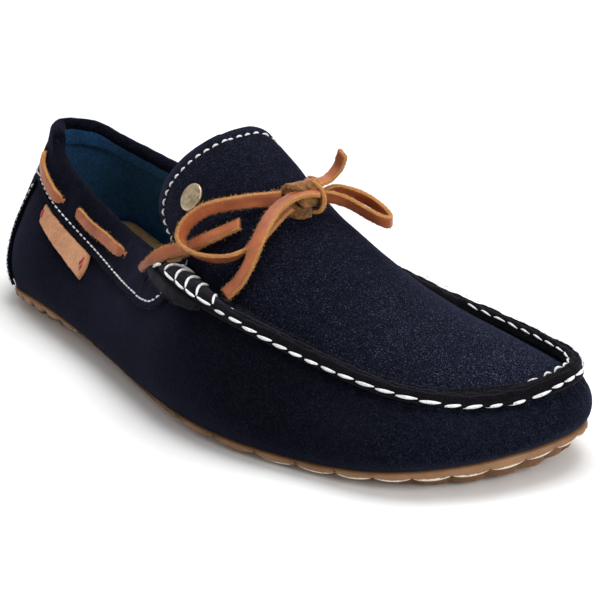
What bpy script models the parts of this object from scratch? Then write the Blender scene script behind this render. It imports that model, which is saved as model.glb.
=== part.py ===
"""Driving moccasin, right shoe, men's EU 42, in suede with a rubber sole and a leather lace.

Frame: X runs from heel to toe, Y to the wearer's left (the inner side), Z up.
The sole stands on z = 0 and the shoe is centred on the origin in X and Y.
Lengths in the tables are millimetres; MM turns them into metres.
"""
import math

import bmesh
import bpy
import numpy as np

MM = 0.001
GAP = 0.3                 # air between neighbouring pieces
WALL = 1.8                # suede of the upper with its lining
OVERLAY = 1.3             # one layer of suede sewn on top
ORIGIN = (136.6, -6.54)   # centre of the shoe's plan, measured from the heel point

# Last, station by station round the feather line, heel back first, outer side next.
# x, y, z: feather edge; bulge: swell of the wall; inset: lean of the top edge; top: its height
LAST = [
    # name             x      y     z    bulge inset  top
    ("heel back",      0.0,   1.0,  7.5,  6.0, 14.0, 65.0),
    ("outer curve",   12.0, -22.0,  6.0,  5.8, 19.0, 64.0),
    ("outer heel",    39.0, -31.0,  8.0,  7.0, 16.5, 54.5),
    ("outer waist",   95.0, -43.0,  6.3,  8.0, 16.0, 46.5),
    ("outer ball",   158.0, -57.0,  4.9,  8.0,  6.0, 48.5),
    ("outer fore",   209.0, -52.0,  4.3,  8.0, 12.5, 35.5),
    ("outer toe",    246.0, -39.5,  7.5,  8.0, 10.0, 30.0),
    ("toe outer",    267.5, -13.0, 11.0,  8.0, 10.0, 26.5),
    ("toe inner",    274.0,  15.0, 13.5,  4.5,  3.0, 30.5),
    ("inner toe",    260.0,  31.0, 12.0,  5.0,  5.0, 32.5),
    ("inner fore",   227.0,  42.0,  6.5,  7.5, 18.0, 37.0),
    ("inner ball",   180.0,  45.5,  5.5,  7.0, 19.0, 39.5),
    ("inner waist",  100.0,  29.5, 11.5,  6.0,  5.0, 47.0),
    ("inner heel",    38.0,  33.0,  8.0,  6.5, 11.0, 56.0),
    ("inner curve",   11.0,  22.5,  7.0,  6.0, 15.0, 64.0),
]
# Places across the apron where its mesh has points: at the toe, and at the throat
TOE_COLUMNS = np.array([
    -1, -0.94, -0.87, -0.8, -0.7, -0.52, -0.28, 0, 0.28, 0.52, 0.7, 0.8, 0.87, 0.94, 1])
THROAT_COLUMNS = np.array([
    -1, -0.86, -0.74, -0.65, -0.57, -0.48, -0.38, -0.24, 0, 0.3, 0.52, 0.66, 0.76, 0.88, 1])
BAND_MARGIN = 0.05        # stations between the throat corners and the ends of the band
ROLL = 2.8                # radius of the rolled collar rim
TREAD_NOTCH = 1.6         # depth of the cuts between the tread's lobes
SEAM_END = 0.975          # share of the way to the throat where the raised seam stops
RIM_LIFT = 0.4            # height of the roll's centre over the wall's top edge
FACING = 6.0              # width of the band's edge that is turned in over the lining
BAND_CLEAR = 0.4          # air under the band, more than GAP so that facets don't touch
COUNTER_CLEAR = 0.45      # air under the heel counter, the tabs and the tag
LACE_WIDTH = 5.0
LACE_THICK = 1.8
LACE_DROP = (8.0, 5.9)    # lace on the band, below the rim: in its rear and its front windows
LACE_AIR = 0.8            # air between the band and the lace on it
RIVET_PLACE = (0.962, -0.463)             # apron's u and v
RIVET_RADIUS = 5.2
RIVET_SECTION = [(1.0, 0.25), (1.0, 1.3), (0.8, 1.7)]    # share of the radius, lift
TAG_SPAN = (1.83, 2.60)                   # stations of the side tag's ends
TAG_WIDTH = (7.0, 9.5)                    # at its rear and front ends
TAG_SLANT = 0.03                          # stations that its lower edge stands forward
TAG_THICK = 1.5
RIM_DIP = 2.2             # how far the rim sags on the outer side, and at which station
DIP_STATION = 2.6
LACE_WINDOWS = {"Rear": (0.98, 2.03), "Front": (2.28, 2.90)}    # stations where the lace shows
COUNTER_REACH = 0.92      # stations that the heel counter covers each way
OUTER, TOE, INNER = 3.45, 8.0, 11.65      # stations of the throat corners and the toe point

# Apron, from the toe point to the throat. crown: height over the straight line between its
# edges; full: squareness of its arch; flange: flat share beside the seam; lean: rearward;
# skew: how far the crest stands towards the inner side
APRON = [
    # share crown  full flange lean  skew
    (0.00,   0.0,  2.0, 0.30,  0.0, 0.00),
    (0.25,   4.0,  2.0, 0.14,  0.0, 0.05),
    (0.50,   9.0,  2.0, 0.12,  0.0, 0.10),
    (0.62,  12.0,  2.1, 0.12,  0.0, 0.15),
    (0.75,  15.0,  2.2, 0.12,  0.0, 0.20),
    (0.87,  24.6,  2.5, 0.15,  3.0, 0.20),
    (0.94,  32.8,  3.1, 0.17, 10.0, 0.26),
    (1.00,  43.5,  4.2, 0.18, 23.5, 0.34),
]

# How far the tongue's raw edge reaches past the throat, as a share of the apron's length
TONGUE = [
    # across reach
    (-0.72, 0.000), (-0.65, 0.015), (-0.60, 0.026), (-0.55, 0.021), (-0.50, 0.018), (-0.40, 0.016),
    (-0.30, 0.018), (-0.20, 0.019), (0.00, 0.021), (0.30, 0.021), (0.40, 0.020), (0.50, 0.012),
    (0.60, 0.003), (0.65, 0.000),
]
TONGUE_FADE = 20          # power of u: only the last rows of the apron reach out

# Depth of the collar band below the rim, on both sides, by stations away from the heel's back
BAND = [
    # station depth
    (0.00, 21.5), (0.50, 20.8), (0.88, 18.8), (1.37, 15.2), (1.70, 14.2), (1.94, 14.6),
    (2.26, 15.2), (2.57, 16.2), (2.89, 17.1), (3.08, 17.2), (3.28, 16.4), (3.50, 15.2),
]

# Ears under the corners of the throat: stations from the corner, and drop of the raw edge
EAR = [
    # reach depth
    (0.00, 15.4), (0.10, 14.4), (0.20, 13.0), (0.28, 9.4), (0.34, 6.6), (0.50, 5.2), (0.66, 2.8),
]
EAR_TOP = 2.0             # drop of the ears' upper edge, clear of the raised seam

# Section of the raised seam over its edge: how far inward, how high, and how much of the
# apron's own height there is added
SEAM = [
    # inward up follow
    (-1.4, 1.6, 0.0), (-0.7, 3.9, 0.0), (1.0, 4.6, 0.0), (2.6, 3.6, 0.5), (3.5, 1.5, 1.0),
    (3.4, 0.6, 1.0),
]
SEAM_FOOT = 1.4           # drop of the seam's outer foot below the edge

# Height of the raised seam along it, as a share of the section above
SEAM_TALL = [
    # station share
    (3.45, 1.00), (4.20, 1.00), (4.60, 0.78), (6.20, 0.78), (6.80, 0.66), (7.40, 0.66), (7.75, 0.90),
    (8.10, 1.00), (11.65, 1.00),
]

# Sole round the same stations. edge: how far its side strip stands outside the feather line;
# strip: height of the strip's lower edge; tread: height of the tread's edge
SOLE = [
    # name            edge strip tread
    ("heel back",      0.2,  3.4,  1.2),
    ("outer curve",    0.5,  2.9,  0.3),
    ("outer heel",     1.0,  4.4,  0.2),
    ("outer waist",   -0.2,  5.2,  3.4),
    ("outer ball",     0.9,  2.6,  0.3),
    ("outer fore",     1.2,  1.5,  0.1),
    ("outer toe",      1.2,  4.1,  1.4),
    ("toe outer",      1.2,  6.8,  2.2),
    ("toe inner",      1.0, 10.4,  5.6),
    ("inner toe",      1.2,  8.2,  4.2),
    ("inner fore",     1.2,  3.4,  0.6),
    ("inner ball",     1.0,  2.7,  0.3),
    ("inner waist",    0.3,  8.8,  7.0),
    ("inner heel",     1.0,  4.2,  0.4),
    ("inner curve",    0.6,  3.4,  0.3),
]
TREAD_INSET = 3.6         # tread's edge inside the feather line


def periodic_spline(values):
    """Smooth closed curve through values, one value a station."""
    v = np.asarray(values, float)
    n = len(v)
    ties = np.zeros((n, n))
    pull = np.zeros_like(v)
    for i in range(n):
        ties[i, i - 1] += 1
        ties[i, i] += 4
        ties[i, (i + 1) % n] += 1
        pull[i] = 3 * (v[(i + 1) % n] - v[i - 1])
    slope = np.linalg.solve(ties, pull)

    def curve(t):
        t = np.asarray(t, float) % n
        i = np.floor(t).astype(int) % n
        j = (i + 1) % n
        w = t - np.floor(t)
        if v.ndim > 1:
            w = w[..., None]
        start = (2 * w**3 - 3 * w**2 + 1) * v[i] + (w**3 - 2 * w**2 + w) * slope[i]
        return start + (-2 * w**3 + 3 * w**2) * v[j] + (w**3 - w**2) * slope[j]

    return curve


last_curve = periodic_spline([row[1:] for row in LAST])
sole_curve = periodic_spline([row[1:] for row in SOLE])
STATIONS = len(LAST)


def outward(t):
    """Unit vector in plan, square to the feather line and pointing out of the shoe."""
    step = 1e-3
    d = (last_curve(t + step) - last_curve(t - step))[..., :2]
    d = d / np.linalg.norm(d, axis=-1, keepdims=True)
    return np.stack([d[..., 1], -d[..., 0], np.zeros_like(d[..., 0])], -1)


def rim_dip(t):
    """How far the rim sags below the table's top edge."""
    away = np.asarray(t, float) % STATIONS - DIP_STATION
    return RIM_DIP * np.exp(-(away / np.where(away < 0, 0.55, 0.42))**2)


def wall(t, h):
    """Point on the outside of the side wall: h = 0 at the feather line, 1 at the top edge."""
    t, h = np.broadcast_arrays(np.asarray(t, float), np.asarray(h, float))
    x, y, z, bulge, inset, top = np.moveaxis(last_curve(t), -1, 0)
    top = top - rim_dip(t)
    n = outward(t)
    up = np.array([0.0, 0.0, 1.0])
    rise = (top - z)[..., None]
    foot = np.stack([x, y, z], -1)
    edge = np.stack([x, y, top], -1) - n * inset[..., None]
    low = foot + n * 1.3 * bulge[..., None] + up * 0.3 * rise
    high = edge + n * 0.9 * bulge[..., None] - up * 0.3 * rise
    h = h[..., None]
    return (1 - h)**3 * foot + 3 * (1 - h)**2 * h * low + 3 * (1 - h) * h**2 * high + h**3 * edge


def skin(surface, a, b, lift):
    """Point of a surface moved lift millimetres along its outward normal."""
    e = 1e-3
    a, b, lift = np.broadcast_arrays(*(np.asarray(q, float) for q in (a, b, lift)))
    da = surface(a + e, b) - surface(a - e, b)
    db = surface(a, np.minimum(b + e, 1)) - surface(a, np.minimum(b + e, 1) - 2 * e)
    n = np.cross(da, db)
    n = n / np.linalg.norm(n, axis=-1, keepdims=True)
    return surface(a, b) + n * lift[..., None]


def off_wall(t, h, lift):
    """Point lift millimetres outside the side wall."""
    return skin(wall, t, h, lift)


def height_at(t, drop):
    """The wall's h that lies drop millimetres below the top edge, measured along the suede."""
    t, drop = np.broadcast_arrays(np.asarray(t, float), np.asarray(drop, float))
    steps = np.linspace(1, 0, 61)
    out = np.empty(t.shape)
    for k in np.ndindex(t.shape):
        p = wall(np.full(61, t[k]), steps)
        run = np.concatenate([[0], np.cumsum(np.linalg.norm(np.diff(p, axis=0), axis=1))])
        out[k] = np.interp(drop[k], run, steps)
    return out


def outer_station(u):
    return TOE - (TOE - OUTER) * u


def inner_station(u):
    return TOE + (INNER - TOE) * u


def apron_row(u):
    """Crown, fullness, flange, lean and skew of the apron at u, eased between the table's rows."""
    table = np.array(APRON).T
    ease = 0.05
    rows = [np.interp(u + k * ease, table[0], column) for column in table[1:] for k in (-1, 0, 1)]
    return [(rows[i] + 2 * rows[i + 1] + rows[i + 2]) / 4 for i in range(0, len(rows), 3)]


def apron(u, v):
    """Point on the outside of the apron: u = 0 at the toe, 1 at the throat; v from -1 to 1."""
    u, v = np.broadcast_arrays(np.asarray(u, float), np.asarray(v, float))
    left = wall(outer_station(u), 1.0)
    right = wall(inner_station(u), 1.0)
    crown, full, flange, lean, skew = apron_row(u)
    flange = flange + np.where(v > 0, 0.5 * skew, 0)
    s = np.minimum(np.abs(v - skew * (1 - v * v)) / (1 - flange), 1)
    arch = (1 - s**full)**(0.85 - 0.25 * u)
    back = lean * arch**0.6 * (1 - arch**2) * (1 - 0.9 * v)
    w = (v[..., None] + 1) / 2
    rise = np.stack([-back, 0 * u, crown * arch], -1)
    return left + (right - left) * w + rise


def off_apron(u, v, lift):
    """Point lift millimetres above the apron."""
    return skin(apron, u, v, -np.asarray(lift, float))


def to_world(points):
    p = np.array(points, float).reshape(-1, 3)
    p[:, 0] -= ORIGIN[0]
    p[:, 1] -= ORIGIN[1]
    return p * MM


def make_material(name, colour, roughness, metallic=0.0):
    mat = bpy.data.materials.new(name)
    mat.use_nodes = True
    shader = mat.node_tree.nodes["Principled BSDF"]
    shader.inputs["Base Color"].default_value = (*colour, 1)
    shader.inputs["Roughness"].default_value = roughness
    shader.inputs["Metallic"].default_value = metallic
    mat.diffuse_color = (*colour, 1)
    return mat


def add_object(name, verts, faces, material, weld=0.0):
    """Mesh object from points in millimetres, its faces turned outward."""
    mesh = bpy.data.meshes.new(name)
    mesh.from_pydata(to_world(verts).tolist(), [], faces)
    bm = bmesh.new()
    bm.from_mesh(mesh)
    if weld:
        bmesh.ops.remove_doubles(bm, verts=bm.verts, dist=weld * MM)
    bmesh.ops.recalc_face_normals(bm, faces=bm.faces)
    bm.to_mesh(mesh)
    bm.free()
    mesh.materials.append(material)
    obj = bpy.data.objects.new(name, mesh)
    parts.objects.link(obj)
    return obj


def grid_faces(rows, cols, first=0, wrap_rows=False, wrap_cols=False):
    """Quads of a grid of points numbered row by row."""
    faces = []
    for i in range(rows if wrap_rows else rows - 1):
        for j in range(cols if wrap_cols else cols - 1):
            a, b = i * cols + j, i * cols + (j + 1) % cols
            c, d = ((i + 1) % rows) * cols + (j + 1) % cols, ((i + 1) % rows) * cols + j
            faces.append([first + k for k in (a, b, c, d)])
    return faces


def sweep(name, rings, material):
    """Solid through a row of closed rings with flat ends."""
    rings = np.asarray(rings)
    rows, cols = rings.shape[:2]
    faces = grid_faces(rows, cols, wrap_cols=True)
    faces.append(list(range(cols))[::-1])
    faces.append([(rows - 1) * cols + k for k in range(cols)])
    return add_object(name, rings, faces, material)


def patch(name, outer, inner, material):
    """Solid between two equal grids of points, closed along their four edges."""
    outer, inner = np.asarray(outer), np.asarray(inner)
    rows, cols = outer.shape[:2]
    size = rows * cols
    faces = grid_faces(rows, cols) + [f[::-1] for f in grid_faces(rows, cols, size)]
    rim = [j for j in range(cols)] + [i * cols + cols - 1 for i in range(1, rows)]
    rim += [(rows - 1) * cols + j for j in range(cols - 2, -1, -1)]
    rim += [i * cols for i in range(rows - 2, 0, -1)]
    for a, b in zip(rim, rim[1:] + rim[:1]):
        faces.append([b, a, a + size, b + size])
    return add_object(name, np.concatenate([outer.reshape(-1, 3), inner.reshape(-1, 3)]), faces, material)


def collar_stations():
    """Stations from the outer corner of the throat round the heel to the inner one."""
    t = np.linspace(OUTER, INNER - STATIONS, 37)
    t[0] -= BAND_MARGIN
    t[-1] += BAND_MARGIN
    return t


def make_upper(material):
    """Side wall and apron as one open sheet, thickened inward by a Solidify modifier."""
    rows = np.linspace(0, 1, 17)**1.2
    t = np.concatenate([outer_station(rows)[::-1], inner_station(rows)[1:],
                        collar_stations()[::-1] + STATIONS])
    h = np.array([0, 0.12, 0.26, 0.4, 0.54, 0.68, 0.82, 0.92, 1.0])
    side = wall(t[None, :], h[:, None])
    faces = grid_faces(len(h), len(t), wrap_cols=True)
    throat = np.clip((rows[1:, None] - 0.7) / 0.3, 0, 1)
    v = TOE_COLUMNS * (1 - throat) + THROAT_COLUMNS * throat
    reach = np.interp(v, *np.array(TONGUE).T)
    top = apron(rows[1:, None] * (1 + reach * rows[1:, None]**TONGUE_FADE), v)
    start = side.shape[0] * side.shape[1]
    faces += grid_faces(len(rows) - 1, len(TOE_COLUMNS), start)
    tip = (len(h) - 1) * len(t) + len(rows) - 1
    faces += [[tip, start + j + 1, start + j] for j in range(len(TOE_COLUMNS) - 1)]
    verts = np.concatenate([side.reshape(-1, 3), top.reshape(-1, 3)])
    upper = add_object("Upper", verts, faces, material, weld=0.02)
    solid = upper.modifiers.new("Thickness", "SOLIDIFY")
    solid.thickness = WALL * MM
    solid.offset = -1
    solid.use_even_offset = True
    return upper


def ground_plan(w, out):
    """Points of both edges of a layer under the foot, out millimetres outside the feather line."""
    outer_t = w * TOE
    inner_t = STATIONS - w * (STATIONS - TOE)
    pair = []
    for t in (outer_t, inner_t):
        pair.append((t, last_curve(t)[..., :3] + outward(t) * np.asarray(out)[..., None]))
    return pair


def deck(outer, inner, cols, height):
    """Rows of points from one edge to the other, each raised by height(share, z)."""
    share = np.linspace(0, 1, cols)
    grid = outer[:, None, :] * (1 - share)[None, :, None] + inner[:, None, :] * share[None, :, None]
    grid[..., 2] = height(share[None, :], grid[..., 2])
    return grid


def flat(share, z):
    """Deck height with nothing added."""
    return z


def layered(name, w, rings, top, bottom, material, top_cols, bottom_cols):
    """Solid of stacked outlines, topmost first, closed by two decks.

    Each ring is a pair of edges (outer, inner) sampled at w, sharing their first and last points.
    """
    loops = [np.concatenate([a, b[-2:0:-1]]) for a, b in rings]
    count = len(loops[0])
    faces = grid_faces(len(loops), count, wrap_cols=True)
    verts = [np.concatenate(loops)]
    first = len(loops) * count
    for (a, b), height, cols in ((rings[0], top, top_cols), (rings[-1], bottom, bottom_cols)):
        plate = deck(a, b, cols, height)
        faces += grid_faces(len(w), cols, first)
        verts.append(plate.reshape(-1, 3))
        first += len(w) * cols
    return add_object(name, np.concatenate(verts), faces, material, weld=0.004)


HEEL_END, FORE_START = 0.355, 0.49       # share of the way to the toe where the treads stop
HEEL_LOBES, FORE_LOBES = 12, 14


def sole_shares():
    """Samples from heel to toe, four to each lobe of the tread, and each sample's lobe phase."""
    heel = np.linspace(0, HEEL_END, 4 * HEEL_LOBES + 1)
    waist = np.linspace(HEEL_END, FORE_START, 7)[1:-1]
    fore = np.linspace(FORE_START, 1, 4 * FORE_LOBES + 1)
    phase = np.concatenate([np.arange(len(heel)) / 4, np.full(len(waist), 0.5), np.arange(len(fore)) / 4])
    return np.concatenate([heel, waist, fore]), phase


def make_outsole(material):
    """Rubber unit: a side strip over a tread whose edge is cut in lobes at heel and forefoot."""
    w, phase = sole_shares()
    notch = TREAD_NOTCH * (1 - np.abs(np.sin(math.pi * phase))**0.6)
    rings = []
    for level in ("top", "shoulder", "strip", "root", "tread"):
        edges = []
        for t, foot in ground_plan(w, np.zeros_like(w)):
            edge, strip, tread = np.moveaxis(sole_curve(t), -1, 0)
            top = foot[:, 2] - GAP - 0.05
            out, z = {"top": (edge - 0.9, top),
                      "shoulder": (edge, top - 0.6),
                      "strip": (edge + 0.1, np.minimum(strip + 0.3 * notch, top - 0.9)),
                      "root": (0.6 - TREAD_INSET - notch, np.minimum(strip - 0.25, top - 1.1)),
                      "tread": (-TREAD_INSET - notch, np.maximum(tread, 0.05))}[level]
            p = foot + outward(t) * out[:, None]
            p[:, 2] = z
            edges.append(p)
        edges[1][0] = edges[0][0]
        edges[1][-1] = edges[0][-1]
        rings.append(edges)

    def underside(share, z):
        inside = np.clip(np.minimum(share, 1 - share) / 0.12, 0, 1)
        return np.where(inside > 0, np.maximum(z - 0.8 * inside, 0.0), z)

    return layered("Outsole", w, rings, flat, underside, material, 2, 5)


def make_insole(material):
    """Leather sock on its board, lying on the outsole inside the upper."""
    w = sole_shares()[0][::3]
    rings = []
    for out, lift in ((-3.2, 3.3), (-2.5, 2.7), (-2.5, 0.4)):
        edges = []
        for t, p in ground_plan(w, np.full_like(w, out)):
            edges.append(p + np.array([0, 0, lift]))
        edges[1][0] = edges[0][0]
        edges[1][-1] = edges[0][-1]
        rings.append(edges)
    return layered("Insole", w, rings, flat, flat, material, 2, 2)


def rim_frame(t):
    """Top edge of the wall with its outward normal and its rising direction."""
    edge = wall(t, 1.0)
    rise = edge - wall(t, 0.98)
    rise = rise / np.linalg.norm(rise, axis=-1, keepdims=True)
    side = off_wall(t, 1.0, 1.0) - edge
    return edge, side, rise


def band_depth(t):
    """Drop of the collar band's lower edge below the rim, eased between the table's rows."""
    away = np.abs((np.asarray(t, float) + STATIONS / 2) % STATIONS - STATIONS / 2)
    ease = np.linspace(-0.2, 0.2, 9)
    return np.mean([np.interp(np.abs(away + e), *np.array(BAND).T) for e in ease], axis=0) - rim_dip(t)


def make_collar_band(material):
    """Band sewn round the collar, rolled over the rim and turned in."""
    t = collar_stations()[::-1]
    edge, side, rise = rim_frame(t)
    centre = edge + side * (-WALL / 2) + rise * RIM_LIFT
    low = band_depth(t)
    clear = BAND_CLEAR
    outside = clear + OVERLAY
    ring = [off_wall(t, height_at(t, low * f), outside) for f in (1.0, 0.6, 0.22)]
    for angle in (10, 50, 90, 130, 170):
        a = math.radians(angle)
        ring.append(centre + ROLL * (side * math.cos(a) + rise * math.sin(a)))
    ring.append(off_wall(t, height_at(t, FACING), -WALL - clear - OVERLAY))
    ring.append(off_wall(t, height_at(t, FACING), -WALL - clear))
    ring.append(edge + side * (-WALL - clear) + rise * clear)
    ring.append(edge + side * clear + rise * clear)
    ring.append(off_wall(t, height_at(t, low * 0.22), clear))
    ring.append(off_wall(t, height_at(t, low * 0.6), clear))
    ring.append(off_wall(t, height_at(t, low), clear))
    return sweep("Collar_Band", np.stack(ring, 1), material)


def make_heel_counter(material):
    """Overlay behind the heel, from the sole up to the band."""
    clear = COUNTER_CLEAR
    t = np.linspace(-COUNTER_REACH, COUNTER_REACH, 13)
    top = height_at(t, band_depth(t) + 2 * GAP)
    h = np.linspace(0.05, 1, 6)[:, None] * top[None, :]
    tt = np.broadcast_to(t, h.shape)
    return patch("Heel_Counter", off_wall(tt, h, clear + OVERLAY), off_wall(tt, h, clear), material)


def make_throat_tab(name, corner, direction, material):
    """Ear of the band under the corner of the throat, tapering towards the toe."""
    reach, depth = np.array(EAR).T
    t = corner + direction * reach
    drop = np.linspace(1.0, 0.0, 6)[:, None] * (depth - EAR_TOP)[None, :] + EAR_TOP
    tt = np.broadcast_to(t, drop.shape)
    h = height_at(tt, drop)
    return patch(name, off_wall(tt, h, COUNTER_CLEAR + OVERLAY), off_wall(tt, h, COUNTER_CLEAR), material)


def make_apron_seam(material):
    """Raised seam where the side wall and the apron are sewn edge to edge."""
    t = np.concatenate([outer_station(np.linspace(SEAM_END, 0, 27)),
                        inner_station(np.linspace(0, SEAM_END, 27))[1:]])
    edge = wall(t, 1.0)
    out = outward(t)
    up = np.array([0, 0, 1.0])

    def lie(inward):
        """Height of the apron over the seam's edge, inward millimetres from it."""
        spot = edge - out * inward
        return (instep_height(spot[:, 0], spot[:, 1]) - edge[:, 2])[:, None]

    foot = height_at(t, SEAM_FOOT)
    ring = [off_wall(t, foot, BAND_CLEAR), off_wall(t, foot, BAND_CLEAR + 0.7)]
    tall = np.interp(t, *np.array(SEAM_TALL).T)[:, None]
    for inward, high, follow in SEAM:
        ring.append(edge - out * inward + up * (high * tall + (follow * lie(inward) if follow else 0.0)))
    ring.append(edge + (out + up) * BAND_CLEAR)
    return sweep("Apron_Seam", np.stack(ring, 1), material)


def instep_samples():
    u, v = np.meshgrid(np.linspace(0, 1, 161)[1:], np.linspace(-1, 1, 161), indexing="ij")
    return apron(u, v).reshape(-1, 3)


def instep_height(x, y):
    """Height of the apron's outside over points of the plan, read from its nearest samples."""
    x, y = np.atleast_1d(x), np.atleast_1d(y)
    z = np.empty(len(x))
    for k in range(len(x)):
        near = np.hypot(INSTEP[:, 0] - x[k], INSTEP[:, 1] - y[k])
        pick = np.argsort(near)[:3]
        weight = 1 / (near[pick] + 0.02)
        z[k] = (INSTEP[pick, 2] * weight).sum() / weight.sum()
    return z


# Routes of the lace. turn: 0 where the strip lies flat on the shoe, 90 where it stands on edge.
# The two straps on the inner side have no turn: their widths point one way all along.
CROSS_OUTER = [
    #   x      y     z   turn
    (115.6, -41.6, 45.0, 0), (122.0, -41.6, 49.3, 0), (128.0, -39.7, 52.7, 0), (133.5, -38.0, 55.0, 0),
    (138.9, -36.8, 57.0, 0), (144.6, -36.5, 60.4, 0), (149.6, -35.0, 63.4, 0), (157.5, -28.6, 68.4, 0),
]
CROSS_INNER = [
    (112.0, 33.5, 40.0, 0), (118.5, 34.0, 45.0, 0), (126.0, 31.2, 50.2, 0), (133.5, 27.2, 57.3, 0),
    (140.0, 22.2, 65.4, 0), (146.0, 16.9, 71.5, 0), (152.0, 10.8, 74.9, 0),
]
LOOP_OUTER = [
    (162.2, -13.2, 75.2, 90), (154.4, -23.6, 74.6, 90), (144.7, -31.0, 71.8, 90), (138.9, -35.0, 67.2, 90),
    (137.4, -38.2, 62.8, 90), (141.2, -41.1, 60.0, 90), (149.5, -42.2, 58.9, 90), (157.6, -41.2, 59.2, 90),
    (163.6, -38.0, 60.4, 70), (166.0, -34.0, 62.2, 40), (166.6, -29.6, 64.1, 10), (166.6, -24.6, 67.1, 0),
    (165.9, -17.7, 70.6, 0), (165.0, -13.0, 72.0, 0),
]
LOOP_INNER = [
    #   x     y     z
    (171.6, 2.4, 73.6), (174.6, 5.4, 72.2), (178.4, 6.6, 71.0), (184.2, 7.0, 69.6),
    (189.2, 7.9, 68.4), (191.4, 9.8, 67.6), (190.0, 11.9, 68.0), (185.0, 12.8, 69.8),
    (177.4, 12.8, 71.8), (171.4, 10.0, 73.5), (168.0, 6.0, 74.5),
]
END_OUTER = [
    (167.2, -13.0, 76.4, 0), (168.2, -21.9, 73.9, 0), (171.2, -30.2, 69.4, 0), (172.6, -34.8, 64.5, 0),
    (172.1, -37.8, 59.1, 0), (170.3, -40.5, 53.9, 0), (167.4, -44.2, 49.5, 0),
]
END_INNER = [
    (166.0, 1.0, 78.0), (166.4, 5.2, 78.9), (168.0, 8.2, 82.4), (170.4, 8.4, 88.0),
]
LOOP_INNER_WIDTH = (0.32, -0.28, 0.90)    # ways that the widths of the two inner straps point
END_INNER_WIDTH = (0.66, 0.75, 0.0)
KNOT = (167.5, -5.5, 74.8)
KNOT_RADII = (6.0, 6.6, 5.2)
SHOE_AXIS = (-7.0, 30.0)                  # y and z of the line that flat strips turn their backs to


def smooth_route(points, step):
    """Catmull-Rom curve through points, one sample about every step millimetres."""
    p = np.asarray(points, float)
    p = np.concatenate([[2 * p[0] - p[1]], p, [2 * p[-1] - p[-2]]])
    out = []
    for a, b, c, d in zip(p[:-3], p[1:-2], p[2:-1], p[3:]):
        count = max(2, round(np.linalg.norm((c - b)[:3]) / step))
        for k in range(count):
            w = k / count
            out.append(0.5 * (2 * b + (c - a) * w + (2 * a - 5 * b + 4 * c - d) * w**2
                              + (3 * b - a - 3 * c + d) * w**3))
    return np.array(out + [p[-2]])


def squared(direction, along):
    """Unit vectors of direction turned square to along."""
    direction = direction - (direction * along).sum(1, keepdims=True) * along
    return direction / np.linalg.norm(direction, axis=1, keepdims=True)


def ribbon(name, centre, wide, material):
    """Flat strip along centre, its width laid along wide."""
    along = np.gradient(centre, axis=0)
    along /= np.linalg.norm(along, axis=1, keepdims=True)
    wide = squared(wide, along)
    thin = np.cross(wide, along)
    ring = []
    for a, b in ((1, 0.4), (0.85, 1), (-0.85, 1), (-1, 0.4), (-1, -0.4), (-0.85, -1), (0.85, -1), (1, -0.4)):
        ring.append(centre + wide * a * LACE_WIDTH / 2 + thin * b * LACE_THICK / 2)
    return sweep(name, np.stack(ring, 1), material)


def lace_piece(name, route, step, material, across=None):
    """Strip along a route, its width turned by the route's fourth column or laid along across."""
    path = smooth_route(route, step)
    centre = path[:, :3]
    if across is None:
        along = np.gradient(centre, axis=0)
        back = centre - np.array([0, *SHOE_AXIS])
        back[:, 0] = 0
        back = squared(back, along / np.linalg.norm(along, axis=1, keepdims=True))
        side = np.cross(along, back)
        side /= np.linalg.norm(side, axis=1, keepdims=True)
        turn = np.radians(path[:, 3])[:, None]
        across = side * np.cos(turn) + back * np.sin(turn)
    return ribbon(name, centre, np.broadcast_to(across, centre.shape), material)


def band_strip(name, start, end, drop, material):
    """Length of lace that shows on the collar band between two slits, drop below the rim."""
    t = np.linspace(start, end, 9)
    h = height_at(t, drop)
    lift = OVERLAY + LACE_AIR + LACE_THICK / 2
    centre = off_wall(t, h, lift)
    out = off_wall(t, h, lift + 1.0) - centre
    return ribbon(name, centre, np.cross(out, np.gradient(centre, axis=0)), material)


def make_knot(material):
    """Body of the bow's knot."""
    mesh = bpy.data.meshes.new("Lace_Knot")
    bm = bmesh.new()
    bmesh.ops.create_uvsphere(bm, u_segments=14, v_segments=8, radius=1.0)
    centre = to_world([KNOT])[0]
    for vert in bm.verts:
        vert.co = [centre[k] + vert.co[k] * KNOT_RADII[k] * MM for k in range(3)]
    bmesh.ops.recalc_face_normals(bm, faces=bm.faces)
    bm.to_mesh(mesh)
    bm.free()
    mesh.materials.append(material)
    knot = bpy.data.objects.new("Lace_Knot", mesh)
    parts.objects.link(knot)
    return knot


def make_rivet(material):
    """Plain brass button on the tongue, a low domed disc."""
    u, v = (np.array([q]) for q in RIVET_PLACE)
    base = off_apron(u, v, 0.0)[0]
    axis = off_apron(u, v, 1.0)[0] - base
    across = np.cross(axis, [0, 0, 1.0])
    across /= np.linalg.norm(across)
    third = np.cross(axis, across)
    turn = np.linspace(0, 2 * math.pi, 24, endpoint=False)
    spoke = np.cos(turn)[:, None] * across + np.sin(turn)[:, None] * third
    ring = [base + spoke * radius * RIVET_RADIUS + axis * lift for radius, lift in RIVET_SECTION]
    return sweep("Rivet", ring, material)


def make_side_tag(material):
    """Small leather tag sewn below the band on the outer side."""
    start, end = TAG_SPAN
    t = np.linspace(start, end, 9)
    across = np.linspace(0, 1, 4)[:, None]
    top = band_depth(t) + 2 * GAP
    drop = top + across * np.linspace(*TAG_WIDTH, 9)
    tt = t + across * TAG_SLANT
    h = height_at(tt, drop)
    return patch("Side_Tag", off_wall(tt, h, GAP + TAG_THICK), off_wall(tt, h, GAP), material)


def scene_setup():
    for obj in list(bpy.data.objects):
        bpy.data.objects.remove(obj, do_unlink=True)
    group = bpy.data.collections.new("Driving moccasin")
    bpy.context.scene.collection.children.link(group)
    return group


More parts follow.
